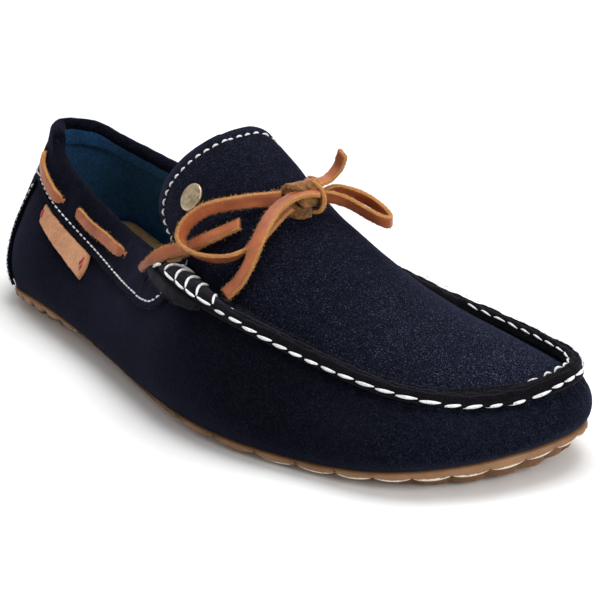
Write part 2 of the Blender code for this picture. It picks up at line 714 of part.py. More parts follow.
def main():
    suede = make_material("Navy suede", (0.012, 0.016, 0.045), 0.95)
    leather = make_material("Tan leather", (0.45, 0.2, 0.08), 0.6)
    rubber = make_material("Brown rubber", (0.25, 0.13, 0.07), 0.55)
    brass = make_material("Aged brass", (0.35, 0.28, 0.16), 0.4, 1.0)
    make_upper(suede)
    make_outsole(rubber)
    make_insole(leather)
    make_collar_band(suede)
    make_heel_counter(suede)
    make_apron_seam(suede)
    make_throat_tab("Throat_Tab_Outer", OUTER, 1, suede)
    make_throat_tab("Throat_Tab_Inner", INNER, -1, suede)
    for (name, (start, end)), drop in zip(LACE_WINDOWS.items(), LACE_DROP):
        band_strip("Lace_Band_Outer_" + name, start, end, drop, leather)
        band_strip("Lace_Band_Inner_" + name, -start, -end, drop, leather)
    lace_piece("Lace_Cross_Outer", CROSS_OUTER, 5.0, leather)
    lace_piece("Lace_Cross_Inner", CROSS_INNER, 5.0, leather)
    lace_piece("Lace_Loop_Outer", LOOP_OUTER, 4.0, leather)
    lace_piece("Lace_Loop_Inner", LOOP_INNER, 3.0, leather, across=LOOP_INNER_WIDTH)
    lace_piece("Lace_End_Outer", END_OUTER, 4.0, leather)
    lace_piece("Lace_End_Inner", END_INNER, 3.0, leather, across=END_INNER_WIDTH)
    make_knot(leather)
    make_rivet(brass)
    make_side_tag(leather)


INSTEP = instep_samples()
parts = scene_setup()
main()
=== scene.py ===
"""Driving moccasin, right shoe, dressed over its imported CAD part.

Navy suede with white moccasin stitching, a teal lining, a leather lace and a rubber sole.
Lengths inside the builders are millimetres in the last's own frame; to_world() takes them to
the part's frame in metres.
"""
import math

import bmesh
import bpy
import numpy as np
from bpy.props import FloatProperty, FloatVectorProperty, PointerProperty
from mathutils import Matrix, Vector
from mathutils.bvhtree import BVHTree


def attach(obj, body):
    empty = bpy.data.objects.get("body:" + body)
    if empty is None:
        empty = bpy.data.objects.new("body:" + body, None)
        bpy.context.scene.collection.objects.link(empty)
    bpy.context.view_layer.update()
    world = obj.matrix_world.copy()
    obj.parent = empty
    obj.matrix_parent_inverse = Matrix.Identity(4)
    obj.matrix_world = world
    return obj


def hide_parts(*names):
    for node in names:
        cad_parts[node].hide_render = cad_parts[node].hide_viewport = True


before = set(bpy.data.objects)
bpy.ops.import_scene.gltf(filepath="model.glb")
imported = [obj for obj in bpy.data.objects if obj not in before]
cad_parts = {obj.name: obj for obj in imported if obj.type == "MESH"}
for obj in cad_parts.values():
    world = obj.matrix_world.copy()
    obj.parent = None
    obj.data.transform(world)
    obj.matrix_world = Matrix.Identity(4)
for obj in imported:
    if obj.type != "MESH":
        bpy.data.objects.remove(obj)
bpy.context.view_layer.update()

bl_info = {
    "name": "Driving Moccasin",
    "version": (1, 0, 0),
    "blender": (4, 5, 0),
    "location": "3D View > Sidebar > Moccasin",
    "description": "Builds the suede, lace, stitching and sole of a driving moccasin",
    "category": "Object",
}

BODY = "root"
MM = 0.001
UP = np.array([0.0, 0.0, 1.0])

# ---------------------------------------------------------------- the last and its surfaces
ORIGIN = (136.6, -6.54)   # centre of the shoe's plan, measured from the heel point
WALL = 1.8                # suede of the upper with its lining
OVERLAY = 1.3             # one layer of suede sewn on top
GAP = 0.3                 # air between neighbouring pieces
BAND_CLEAR = 0.35         # air under the collar band
OUTER, TOE, INNER = 3.45, 8.0, 11.65      # stations of the throat corners and the toe point
RIM_DIP = 2.2             # how far the rim sags on the outer side
DIP_STATION = 2.6         # where it sags most

# Feather line station by station, with the wall's swell, its lean and its top height
LAST = [
    # x, y, z, bulge, inset, top
    (0.0, 1.0, 7.5, 6.0, 14.0, 65.0),
    (12.0, -22.0, 6.0, 5.8, 19.0, 64.0),
    (39.0, -31.0, 8.0, 7.0, 16.5, 54.5),
    (95.0, -43.0, 6.3, 8.0, 16.0, 46.5),
    (158.0, -57.0, 4.9, 8.0, 6.0, 48.5),
    (209.0, -52.0, 4.3, 8.0, 12.5, 35.5),
    (246.0, -39.5, 7.5, 8.0, 10.0, 30.0),
    (267.5, -13.0, 11.0, 8.0, 10.0, 26.5),
    (274.0, 15.0, 13.5, 4.5, 3.0, 30.5),
    (260.0, 31.0, 12.0, 5.0, 5.0, 32.5),
    (227.0, 42.0, 6.5, 7.5, 18.0, 37.0),
    (180.0, 45.5, 5.5, 7.0, 19.0, 39.5),
    (100.0, 29.5, 11.5, 6.0, 5.0, 47.0),
    (38.0, 33.0, 8.0, 6.5, 11.0, 56.0),
    (11.0, 22.5, 7.0, 6.0, 15.0, 64.0),
]
# Apron from the toe point to the throat
APRON = [
    # share, crown, full, flange, lean, skew
    (0.00, 0.0, 2.0, 0.30, 0.0, 0.00),
    (0.25, 4.0, 2.0, 0.14, 0.0, 0.05),
    (0.50, 9.0, 2.0, 0.12, 0.0, 0.10),
    (0.62, 12.0, 2.1, 0.12, 0.0, 0.15),
    (0.75, 15.0, 2.2, 0.12, 0.0, 0.20),
    (0.87, 24.6, 2.5, 0.15, 3.0, 0.20),
    (0.94, 32.8, 3.1, 0.17, 10.0, 0.26),
    (1.00, 43.5, 4.2, 0.18, 23.5, 0.34),
]
# Sole round the same stations: edge outside the feather line, strip's and tread's lower heights
SOLE = [
    # edge, strip, tread
    (0.2, 3.4, 1.2), (0.5, 2.9, 0.3), (1.0, 4.4, 0.2), (-0.2, 5.2, 3.4), (0.9, 2.6, 0.3),
    (1.2, 1.5, 0.1), (1.2, 4.1, 1.4), (1.2, 6.8, 2.2), (1.0, 10.4, 5.6), (1.2, 8.2, 4.2),
    (1.2, 3.4, 0.6), (1.0, 2.7, 0.3), (0.3, 8.8, 7.0), (1.0, 4.2, 0.4), (0.6, 3.4, 0.3),
]
STATIONS = len(LAST)


def periodic_spline(values):
    """Smooth closed curve through values, one value a station."""
    v = np.asarray(values, float)
    n = len(v)
    ties = np.zeros((n, n))
    pull = np.zeros_like(v)
    for i in range(n):
        ties[i, i - 1] += 1
        ties[i, i] += 4
        ties[i, (i + 1) % n] += 1
        pull[i] = 3 * (v[(i + 1) % n] - v[i - 1])
    slope = np.linalg.solve(ties, pull)

    def curve(t):
        t = np.asarray(t, float) % n
        i = np.floor(t).astype(int) % n
        j = (i + 1) % n
        w = (t - np.floor(t))[..., None]
        start = (2 * w**3 - 3 * w**2 + 1) * v[i] + (w**3 - 2 * w**2 + w) * slope[i]
        return start + (-2 * w**3 + 3 * w**2) * v[j] + (w**3 - w**2) * slope[j]

    return curve


last_curve = periodic_spline(LAST)
sole_curve = periodic_spline(SOLE)


def unit(v):
    """Vectors scaled to length one."""
    return v / np.maximum(np.linalg.norm(v, axis=-1, keepdims=True), 1e-12)


def run_length(path):
    """Distance along rows of points, each from its row's first."""
    run = np.linalg.norm(np.diff(path, axis=-2), axis=-1).cumsum(-1)
    return np.concatenate([np.zeros(run.shape[:-1] + (1,)), run], -1)


def outward(t):
    """Unit vector in plan, square to the feather line and pointing out of the shoe."""
    step = 1e-3
    d = unit((last_curve(t + step) - last_curve(t - step))[..., :2])
    return np.stack([d[..., 1], -d[..., 0], np.zeros_like(d[..., 0])], -1)


def rim_dip(t):
    """How far the rim sags below the table's top edge."""
    away = np.asarray(t, float) % STATIONS - DIP_STATION
    return RIM_DIP * np.exp(-(away / np.where(away < 0, 0.55, 0.42))**2)


def wall(t, h):
    """Point on the outside of the side wall: h = 0 at the feather line, 1 at the top edge."""
    t, h = np.broadcast_arrays(np.asarray(t, float), np.asarray(h, float))
    x, y, z, bulge, inset, top = np.moveaxis(last_curve(t), -1, 0)
    top = top - rim_dip(t)
    n = outward(t)
    rise = (top - z)[..., None]
    foot = np.stack([x, y, z], -1)
    edge = np.stack([x, y, top], -1) - n * inset[..., None]
    low = foot + n * 1.3 * bulge[..., None] + UP * 0.3 * rise
    high = edge + n * 0.9 * bulge[..., None] - UP * 0.3 * rise
    h = h[..., None]
    return (1 - h)**3 * foot + 3 * (1 - h)**2 * h * low + 3 * (1 - h) * h**2 * high + h**3 * edge


def skin(surface, a, b, lift):
    """Point of a surface moved lift millimetres along its outward normal."""
    e = 1e-3
    a, b, lift = np.broadcast_arrays(*(np.asarray(q, float) for q in (a, b, lift)))
    da = surface(a + e, b) - surface(a - e, b)
    db = surface(a, np.minimum(b + e, 1)) - surface(a, np.minimum(b + e, 1) - 2 * e)
    return surface(a, b) + unit(np.cross(da, db)) * lift[..., None]


def off_wall(t, h, lift):
    """Point lift millimetres outside the side wall."""
    return skin(wall, t, h, lift)


def height_at(t, drop):
    """The wall's h that lies drop millimetres below the top edge, measured along the suede."""
    t, drop = np.broadcast_arrays(np.asarray(t, float), np.asarray(drop, float))
    steps = np.linspace(1, 0, 61)
    run = run_length(wall(t[..., None], steps))
    k = np.clip((run < drop[..., None]).sum(-1) - 1, 0, len(steps) - 2)[..., None]
    low = np.take_along_axis(run, k, -1)[..., 0]
    high = np.take_along_axis(run, k + 1, -1)[..., 0]
    share = np.clip((drop - low) / (high - low), 0, 1)
    return 1 - (k[..., 0] + share) / (len(steps) - 1)


def below_rim(t, drop, lift):
    """Point on the wall drop millimetres below its top edge, lift millimetres outside it."""
    return off_wall(t, height_at(t, drop), lift)


def over_wall(t, drop, lift, lean=0.0):
    """Points below the rim and the ways out of the wall at them, leaning away from the rim."""
    points = below_rim(t, drop, lift)
    return points, unit(points - below_rim(t, drop - lean, 0.0))


def outer_station(u):
    return TOE - (TOE - OUTER) * u


def inner_station(u):
    return TOE + (INNER - TOE) * u


def apron_row(u):
    """Crown, fullness, flange, lean and skew of the apron at u, eased between the table's rows."""
    table = np.array(APRON).T
    ease = 0.05
    rows = [np.interp(u + k * ease, table[0], column) for column in table[1:] for k in (-1, 0, 1)]
    return [(rows[i] + 2 * rows[i + 1] + rows[i + 2]) / 4 for i in range(0, len(rows), 3)]


def apron(u, v):
    """Point on the outside of the apron: u = 0 at the toe, 1 at the throat; v from -1 to 1."""
    u, v = np.broadcast_arrays(np.asarray(u, float), np.asarray(v, float))
    left = wall(outer_station(u), 1.0)
    right = wall(inner_station(u), 1.0)
    crown, full, flange, lean, skew = apron_row(u)
    flange = flange + np.where(v > 0, 0.5 * skew, 0)
    s = np.minimum(np.abs(v - skew * (1 - v * v)) / (1 - flange), 1)
    arch = (1 - s**full)**(0.85 - 0.25 * u)
    back = lean * arch**0.6 * (1 - arch**2) * (1 - 0.9 * v)
    w = (v[..., None] + 1) / 2
    rise = np.stack([-back, 0 * u, crown * arch], -1)
    return left + (right - left) * w + rise


def off_apron(u, v, lift):
    """Point lift millimetres above the apron."""
    return skin(apron, u, v, -np.asarray(lift, float))


def collar_band_depth(t):
    """Drop of the collar band's raw edge below the rim, the same on both sides."""
    away = np.abs((np.asarray(t, float) + STATIONS / 2) % STATIONS - STATIONS / 2)
    knots = np.array([(0.0, 21.5), (0.5, 20.8), (0.88, 18.8), (1.37, 15.2), (1.7, 14.2), (1.94, 14.6),
                      (2.26, 15.2), (2.57, 16.2), (2.89, 17.1), (3.08, 17.2), (3.28, 16.4), (3.5, 15.2)])
    ease = np.linspace(-0.2, 0.2, 9)
    depth = np.mean([np.interp(np.abs(away + e), knots[:, 0], knots[:, 1]) for e in ease], axis=0)
    return depth - rim_dip(t)


# ---------------------------------------------------------------- small geometry helpers
def to_world(points):
    p = np.array(points, float).reshape(-1, 3)
    p[:, 0] -= ORIGIN[0]
    p[:, 1] -= ORIGIN[1]
    return p * MM


def ripple(p, size, seed):
    """Soft unevenness between about -1 and 1 over points, in waves about size millimetres long."""
    rng = np.random.default_rng(seed)
    total = 0
    for _ in range(7):
        way = unit(rng.normal(size=3)) * 2 * math.pi / (size * rng.uniform(0.7, 1.5))
        total = total + np.sin(np.asarray(p) @ way + rng.uniform(0, 2 * math.pi))
    return total / 2.7


def raised(points, lift):
    """Points moved up by lift."""
    points = points.copy()
    points[..., 2] += lift
    return points


def between(first, last, share):
    """Grid of points from one edge to the other, at each share of the way."""
    return first[:, None, :] * (1 - share)[..., None] + last[:, None, :] * share[..., None]


def smoothstep(x, low, high):
    w = np.clip((x - low) / (high - low), 0, 1)
    return w * w * (3 - 2 * w)


def read_along(run, spots, field):
    """A field's columns read at spots of a path."""
    return np.stack([np.interp(spots, run, column) for column in field.T], -1)


def evenly(path, count, *fields):
    """Row of count points at equal distances along path, with each field read at them."""
    run = run_length(path)
    spots = np.linspace(0, run[-1], count)
    return [read_along(run, spots, field) for field in (path, *fields)]


def smooth_route(points, step):
    """Catmull-Rom curve through points, one sample about every step millimetres."""
    p = np.asarray(points, float)
    p = np.concatenate([[2 * p[0] - p[1]], p, [2 * p[-1] - p[-2]]])
    out = []
    for a, b, c, d in zip(p[:-3], p[1:-2], p[2:-1], p[3:]):
        count = max(2, round(np.linalg.norm((c - b)[:3]) / step))
        for k in range(count):
            w = k / count
            out.append(0.5 * (2 * b + (c - a) * w + (2 * a - 5 * b + 4 * c - d) * w**2
                              + (3 * b - a - 3 * c + d) * w**3))
    return np.array(out + [p[-2]])


def tangents(path):
    return unit(np.gradient(path, axis=0))


def squared(direction, along):
    """Unit vectors of direction turned square to along."""
    return unit(direction - (direction * along).sum(-1, keepdims=True) * along)


def grid_faces(rows, cols, first=0, wrap_cols=False):
    """Quads of a grid of points numbered row by row."""
    i = np.arange(rows - 1)[:, None]
    j = np.arange(cols if wrap_cols else cols - 1)[None, :]
    k = (j + 1) % cols
    corners = (i * cols + j, i * cols + k, (i + 1) * cols + k, (i + 1) * cols + j)
    quads = np.stack(np.broadcast_arrays(*corners), -1)
    return (quads.reshape(-1, 4) + first).tolist()


def placed(name, data):
    """New object in the scene."""
    obj = bpy.data.objects.new(name, data)
    bpy.context.scene.collection.objects.link(obj)
    return obj


def add_piece(name, verts, faces, finishes, weld=0.0, indices=None, **fields):
    """Mesh piece from points in millimetres; fields are numbers kept on its points for its finish."""
    mesh = bpy.data.meshes.new(name)
    mesh.from_pydata(to_world(verts).tolist(), [], faces)
    for key, values in fields.items():
        values = np.asarray(values, np.float32)
        kind = "FLOAT" if values.ndim == 1 else "FLOAT_VECTOR"
        slot = mesh.attributes.new(key, kind, "POINT")
        slot.data.foreach_set("value" if values.ndim == 1 else "vector", values.ravel())
    if indices is not None:
        mesh.polygons.foreach_set("material_index", np.asarray(indices, np.int32))
    for key in finishes:
        mesh.materials.append(finish_of(key))
    bm = bmesh.new()
    bm.from_mesh(mesh)
    if weld:
        bmesh.ops.remove_doubles(bm, verts=bm.verts, dist=weld * MM)
    bmesh.ops.recalc_face_normals(bm, faces=bm.faces)
    bm.to_mesh(mesh)
    bm.free()
    mesh.shade_smooth()
    return placed(name, mesh)


def settle(obj, slot, *nodes):
    """Hands a finished piece to the frame and hides the solids it stands for; the slot argument is not used.
    """
    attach(obj, BODY)
    if nodes:
        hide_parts(*nodes)
    return obj


def sweep(name, rings, finishes, indices=None, **fields):
    """Solid through a row of closed rings, with flat ends."""
    rings = np.asarray(rings)
    rows, cols = rings.shape[:2]
    faces = grid_faces(rows, cols, wrap_cols=True)
    faces += [list(range(cols))[::-1], [(rows - 1) * cols + k for k in range(cols)]]
    if indices is not None:
        indices = list(indices) * (rows - 1) + [0, 0]
    return add_piece(name, rings.reshape(-1, 3), faces, finishes, indices=indices, **fields)


def sheet_solid(outer, inner):
    """Points and faces of the solid between two equal grids, closed along their four edges."""
    outer, inner = np.asarray(outer), np.asarray(inner)
    rows, cols = outer.shape[:2]
    size = rows * cols
    faces = grid_faces(rows, cols) + [f[::-1] for f in grid_faces(rows, cols, size)]
    rim = list(range(cols)) + [i * cols + cols - 1 for i in range(1, rows)]
    rim += [(rows - 1) * cols + j for j in range(cols - 2, -1, -1)]
    rim += [i * cols for i in range(rows - 2, 0, -1)]
    faces += [[b, a, a + size, b + size] for a, b in zip(rim, rim[1:] + rim[:1])]
    return np.concatenate([outer.reshape(-1, 3), inner.reshape(-1, 3)]), faces


def tube(path, radius):
    """Rings of a round thread along path, drawn in at both ends."""
    along = tangents(path)
    side = squared(np.cross(along, [0.31, 0.42, 0.85]), along)
    third = np.cross(along, side)
    share = np.linspace(0, 1, len(path))
    size = radius * np.clip(np.minimum(share, 1 - share) * len(path) / 2.5, 0.25, 1)**0.5
    turn = np.linspace(0, 2 * math.pi, 8, endpoint=False)
    spoke = np.cos(turn)[None, :, None] * side[:, None] + np.sin(turn)[None, :, None] * third[:, None]
    return path[:, None] + spoke * np.reshape(size, (-1, 1, 1))


def many_tubes(name, tubes, finishes):
    """One piece of several separate tubes."""
    verts, faces = [], []
    for rings in tubes:
        first = sum(len(v) for v in verts)
        rows, cols = rings.shape[:2]
        faces += grid_faces(rows, cols, first, wrap_cols=True)
        faces.append([first + k for k in range(cols)][::-1])
        faces.append([first + (rows - 1) * cols + k for k in range(cols)])
        verts.append(rings.reshape(-1, 3))
    return add_piece(name, np.concatenate(verts), faces, finishes)


# ---------------------------------------------------------------- node trees
class Wiring:
    """Adds nodes to a tree and joins them."""

    def __init__(self, tree):
        self.tree = tree

    def add(self, kind, inputs=None, **settings):
        node = self.tree.nodes.new(kind)
        for key, value in settings.items():
            setattr(node, key, value)
        for key, value in (inputs or {}).items():
            if isinstance(value, bpy.types.NodeSocket):
                self.tree.links.new(value, node.inputs[key])
            else:
                node.inputs[key].default_value = value
        return node

    def link(self, value, socket):
        self.tree.links.new(value, socket)

    def math(self, operation, *values):
        """Output of one Math node."""
        return self.add("ShaderNodeMath", dict(enumerate(values)), operation=operation).outputs[0]

    def times(self, first, second):
        return self.math("MULTIPLY", first, second)


def finish_tree(name, colour, roughness, **constants):
    """New material with its wiring, shader and object coordinates; constants go on the shader."""
    material = bpy.data.materials.new(name)
    material.use_nodes = True
    wiring = Wiring(material.node_tree)
    shader = material.node_tree.nodes["Principled BSDF"]
    shader.inputs["Base Color"].default_value = (*colour, 1)
    shader.inputs["Roughness"].default_value = roughness
    for key, value in constants.items():
        shader.inputs[key.replace("_", " ")].default_value = value
    place = wiring.add("ShaderNodeTexCoord").outputs["Object"]
    return material, wiring, shader, place


def scaled(tone, gain):
    """A colour made darker or paler."""
    return tuple(gain * c for c in tone)


def noise(wiring, place, scale, detail=3.0, roughness=0.6, distortion=0.0):
    node = wiring.add("ShaderNodeTexNoise", {"Vector": place, "Scale": scale, "Detail": detail,
                                             "Roughness": roughness, "Distortion": distortion})
    return node.outputs["Fac"]


def ramp(wiring, value, low, high, bottom=0.0, top=1.0):
    """Value spread from low..high to bottom..top."""
    node = wiring.add("ShaderNodeMapRange", {0: value, 1: low, 2: high, 3: bottom, 4: top})
    return node.outputs[0]


def blend_colours(wiring, share, first, second):
    """Colour between two; each is a colour or another node's output."""
    def full(c):
        return c if isinstance(c, bpy.types.NodeSocket) else (*c, 1.0)
    node = wiring.add("ShaderNodeMix", {0: share, 6: full(first), 7: full(second)}, data_type="RGBA")
    return node.outputs[2]


def bumps(wiring, shader, *layers):
    """Stacks bump layers of (height, distance in metres, strength) on the shader's normal."""
    normal = None
    for height, distance, strength in layers:
        inputs = {"Height": height, "Distance": distance, "Strength": strength}
        if normal is not None:
            inputs["Normal"] = normal
        normal = wiring.add("ShaderNodeBump", inputs).outputs[0]
    wiring.link(normal, shader.inputs["Normal"])


def suede(name, dark, light, fleck, cloud=40.0, fleck_share=0.85, sheen=0.05,
          sheen_tint=(0.45, 0.50, 1.0), painted_shade_toward_heel=None):
    """Napped suede: clouded pile, a dense fine grain and pale fibre tips, with painted shade that darkens it
    toward the heel and leaves it full toward the toe.
    """
    material, w, shader, place = finish_tree(
        name, dark, 0.95, Sheen_Weight=sheen, Sheen_Roughness=0.5, Sheen_Tint=(*sheen_tint, 1),
        Specular_IOR_Level=0.03)
    clouds = noise(w, place, cloud, 3.0, 0.55, 0.4)
    streaks = noise(w, place, 330.0, 3.0, 0.6)
    grain = noise(w, place, 1250.0, 2.0, 0.7)
    tips = noise(w, place, 1900.0, 1.0, 0.5)
    pile = w.math("ADD", w.times(clouds, 0.45), w.times(streaks, 0.55))
    nap = ramp(w, pile, 0.34, 0.64)
    shade = blend_colours(w, nap, scaled(light, 0.55), light)
    base = blend_colours(w, ramp(w, grain, 0.36, 0.66), dark, shade)
    flecks = w.times(ramp(w, tips, 0.56, 0.74), fleck_share)
    flecks = w.times(flecks, w.math("MULTIPLY_ADD", nap, 0.7, 0.3))
    tone = blend_colours(w, flecks, base, fleck)
    # Painted shade: the colour blended toward black along the object's x, most toward the heel, none toward
    # the toe
    if painted_shade_toward_heel:
        start, end, share = painted_shade_toward_heel
        along = w.add("ShaderNodeSeparateXYZ", {0: place}).outputs["X"]
        tone = blend_colours(w, ramp(w, along, start, end, share, 1.0), (0.0, 0.0, 0.0), tone)
    w.link(tone, shader.inputs["Base Color"])
    bumps(w, shader, (streaks, 0.0005, 0.3), (grain, 0.0005, 0.7))
    return material


def strap_leather(name, face, face_dark, edge):
    """Lace leather: smooth waxy grain on its faces, torn fibres along its edges."""
    material, w, shader, place = finish_tree(name, face, 0.42, Specular_IOR_Level=0.4)
    side = w.add("ShaderNodeAttribute", attribute_name="edge").outputs["Fac"]
    run = w.add("ShaderNodeAttribute", attribute_name="strip").outputs["Vector"]
    strands = noise(w, run, 260.0, 4.0, 0.65)
    patches = noise(w, place, 120.0, 3.0, 0.6)
    grain = noise(w, place, 1300.0, 4.0, 0.7)
    fibres = noise(w, place, 1900.0, 5.0, 0.8)
    torn = ramp(w, w.math("ADD", side, w.math("MULTIPLY_ADD", grain, 0.5, -0.25)), 0.42, 0.72)
    tone = w.math("ADD", w.times(strands, 0.5), w.times(patches, 0.5))
    skin_colour = blend_colours(w, ramp(w, tone, 0.38, 0.64), face_dark, face)
    edge_colour = blend_colours(w, ramp(w, fibres, 0.34, 0.66), scaled(edge, 0.42), edge)
    w.link(blend_colours(w, torn, skin_colour, edge_colour), shader.inputs["Base Color"])
    w.link(ramp(w, torn, 0.0, 1.0, 0.4, 0.9), shader.inputs["Roughness"])
    rough = w.times(fibres, w.math("MULTIPLY_ADD", torn, 0.9, 0.1))
    bumps(w, shader, (strands, 0.0004, 0.25), (rough, 0.0008, 0.8), (grain, 0.00012, 0.4))
    return material


def rough_leather(name, dark, light, roughness=0.8, scale=700.0, cloud=80.0):
    """Leather's flesh side or a dry plain skin: fibrous and clouded."""
    material, w, shader, place = finish_tree(name, light, roughness, Specular_IOR_Level=0.25,
                                             Sheen_Weight=0.15, Sheen_Roughness=0.5)
    clouds = noise(w, place, cloud, 4.0, 0.6, 0.3)
    fibres = noise(w, place, scale, 5.0, 0.75, 0.6)
    tone = w.math("ADD", w.times(clouds, 0.45), w.times(fibres, 0.55))
    w.link(blend_colours(w, ramp(w, tone, 0.38, 0.62), dark, light), shader.inputs["Base Color"])
    bumps(w, shader, (clouds, 0.0005, 0.3), (fibres, 0.0006, 0.7))
    return material


def rubber(name, body, shade, mark):
    """Moulded gum rubber: mottling, pits, dried cement and a painted highlight where its point value is high,
    painted shade on the tread where that value is below zero.
    """
    material, w, shader, place = finish_tree(name, body, 0.55, Specular_IOR_Level=0.4)
    mottling = noise(w, place, 90.0, 4.0, 0.6)
    pits = noise(w, place, 1100.0, 3.0, 0.6)
    smear = noise(w, place, 210.0, 5.0, 0.7, 0.8)
    tone = blend_colours(w, ramp(w, mottling, 0.35, 0.65), shade, body)
    glue = w.add("ShaderNodeAttribute", attribute_name="glue").outputs["Fac"]
    # Painted shade: the tread under the side strip darkened where the point value is below zero
    tone = blend_colours(w, ramp(w, w.times(glue, -1.0), 0.1, 0.5), tone, scaled(shade, 0.7))
    # Dried cement, and on the forefoot's scallops a painted highlight, both in the cement colour
    cement_and_highlight_share = ramp(w, w.math("ADD", glue, w.math("MULTIPLY_ADD", smear, 1.2, -0.6)), 0.5, 0.72)
    w.link(blend_colours(w, cement_and_highlight_share, tone, mark), shader.inputs["Base Color"])
    bumps(w, shader, (mottling, 0.0005, 0.3), (pits, 0.0002, 0.5))
    return material


def thread(name, colour, shade):
    """Waxed cotton thread, its plies showing as fine slanting ridges."""
    material, w, shader, place = finish_tree(name, colour, 0.7, Sheen_Weight=0.3, Sheen_Roughness=0.4)
    lint = noise(w, place, 900.0, 4.0, 0.7)
    w.link(blend_colours(w, ramp(w, lint, 0.3, 0.6), shade, colour), shader.inputs["Base Color"])
    wound = w.add("ShaderNodeAttribute", attribute_name="wound").outputs["Vector"]
    plies = w.add("ShaderNodeTexWave", {"Vector": wound, "Scale": 1500.0, "Distortion": 0.6, "Detail": 1.0},
                  wave_type="BANDS", bands_direction="DIAGONAL").outputs["Fac"]
    bumps(w, shader, (plies, 0.0002, 0.35), (lint, 0.0003, 0.4))
    return material


def aged_brass(name, metal, tarnish):
    """Plain brass button, with patches of tarnish and fine scratches."""
    material, w, shader, place = finish_tree(name, metal, 0.38, Metallic=1.0)
    stains = noise(w, place, 500.0, 4.0, 0.65)
    scratches = noise(w, place, 2600.0, 2.0, 0.5, 1.5)
    w.link(blend_colours(w, ramp(w, stains, 0.42, 0.7), metal, tarnish), shader.inputs["Base Color"])
    w.link(ramp(w, stains, 0.3, 0.7, 0.3, 0.55), shader.inputs["Roughness"])
    bumps(w, shader, (scratches, 0.0001, 0.35))
    return material


def new_tree(name, **inputs):
    """Geometry Nodes tree with one geometry socket each way and the named inputs."""
    tree = bpy.data.node_groups.new(name, "GeometryNodeTree")
    tree.interface.new_socket("Geometry", in_out="INPUT", socket_type="NodeSocketGeometry")
    for label, kind in inputs.items():
        tree.interface.new_socket(label, in_out="INPUT", socket_type="NodeSocket" + kind)
    tree.interface.new_socket("Geometry", in_out="OUTPUT", socket_type="NodeSocketGeometry")
    wiring = Wiring(tree)
    return tree, wiring, wiring.add("NodeGroupInput").outputs


def close_tree(wiring, given, **inputs):
    """Sets an instance on every point, then Realize Instances, smooth shading and Set Material."""
    rows = wiring.add("GeometryNodeInstanceOnPoints", {"Points": given["Geometry"], **inputs}).outputs[0]
    real = wiring.add("GeometryNodeRealizeInstances", {0: rows}).outputs[0]
    soft = wiring.add("GeometryNodeSetShadeSmooth", {"Geometry": real}).outputs[0]
    done = wiring.add("GeometryNodeSetMaterial", {"Geometry": soft, "Material": given["Material"]}).outputs[0]
    wiring.add("NodeGroupOutput", {0: done})


def cord_mesh(wiring, curve, thickness, sides, fullness):
    """Round thread along a curve, its fullness changing along it."""
    circle = {"Resolution": sides, "Radius": wiring.times(thickness, 0.5)}
    profile = wiring.add("GeometryNodeCurvePrimitiveCircle", circle).outputs[0]
    return wiring.add("GeometryNodeCurveToMesh", {
        "Curve": curve, "Profile Curve": profile, "Scale": fullness, "Fill Caps": True}).outputs[0]


def vector_field(wiring, name):
    node = wiring.add("GeometryNodeInputNamedAttribute", {"Name": name}, data_type="FLOAT_VECTOR")
    return node.outputs[0]


def combine(wiring, x=0.0, y=0.0, z=0.0):
    return wiring.add("ShaderNodeCombineXYZ", {0: x, 1: y, 2: z}).outputs[0]


def chance(wiring, least, most, seed):
    """Random number of its own for every point."""
    inputs = {2: least, 3: most, "Seed": seed}
    return wiring.add("FunctionNodeRandomValue", inputs, data_type="FLOAT").outputs[1]


def aimed(wiring, field, rotation=None, **axes):
    """Rotation that points an axis along a field of the points."""
    inputs = {"Vector": vector_field(wiring, field)}
    if rotation is not None:
        inputs["Rotation"] = rotation
    return wiring.add("FunctionNodeAlignRotationToVector", inputs, **axes).outputs[0]


def tilted(wiring, rotation, angles):
    """Rotation turned by angles about its own axes."""
    tilt = wiring.add("FunctionNodeEulerToRotation", {0: angles}).outputs[0]
    inputs = {"Rotation": rotation, "Rotate By": tilt}
    return wiring.add("FunctionNodeRotateRotation", inputs, rotation_space="LOCAL").outputs[0]


def stitch_tree():
    """Tree that lays one short thread, drawn in at both ends, on every point of its mesh."""
    tree, w, given = new_tree(
        "Stitch row", Length="Float", Thread="Float", Arch="Float", Sink="Float", Taper="Float",
        Unevenness="Float", Seed="Int", Material="Material")
    half = w.times(given["Length"], 0.5)
    low = w.times(given["Sink"], -1.0)
    arc = w.add("GeometryNodeCurveQuadraticBezier", {
        "Resolution": 9, "Start": combine(w, w.times(half, -1.0), 0.0, low),
        "Middle": combine(w, 0.0, 0.0, w.math("MULTIPLY_ADD", given["Arch"], 2.0, given["Sink"])),
        "End": combine(w, half, 0.0, low)}).outputs[0]
    share = w.add("GeometryNodeSplineParameter").outputs["Factor"]
    off_middle = w.math("ABSOLUTE", w.math("MULTIPLY_ADD", share, 2.0, -1.0))
    fullness = w.math("SUBTRACT", 1.0, w.times(w.math("POWER", off_middle, 2.0), given["Taper"]))
    stitch = cord_mesh(w, arc, given["Thread"], 8, fullness)
    local = w.add("GeometryNodeInputPosition").outputs[0]
    stitch = w.add("GeometryNodeStoreNamedAttribute", {"Geometry": stitch, "Name": "wound", "Value": local},
                   data_type="FLOAT_VECTOR", domain="POINT").outputs[0]
    turned = aimed(w, "along", axis="X")
    turned = aimed(w, "up", turned, axis="Z", pivot_axis="X")
    least, most = w.times(given["Unevenness"], -1.0), given["Unevenness"]
    sway = chance(w, least, most, given["Seed"])
    turned = tilted(w, turned, combine(w, 0.0, w.times(sway, 0.3), sway))
    other = chance(w, least, most, w.math("ADD", given["Seed"], 7.0))
    stretch = w.add("ShaderNodeVectorMath", {0: vector_field(w, "along")}, operation="LENGTH")
    size = combine(w, w.times(w.math("ADD", 1.0, other), stretch.outputs["Value"]),
                   w.math("MULTIPLY_ADD", other, 0.6, 1.0), 1.0)
    close_tree(w, given, Instance=stitch, Rotation=turned, Scale=size)
    return tree


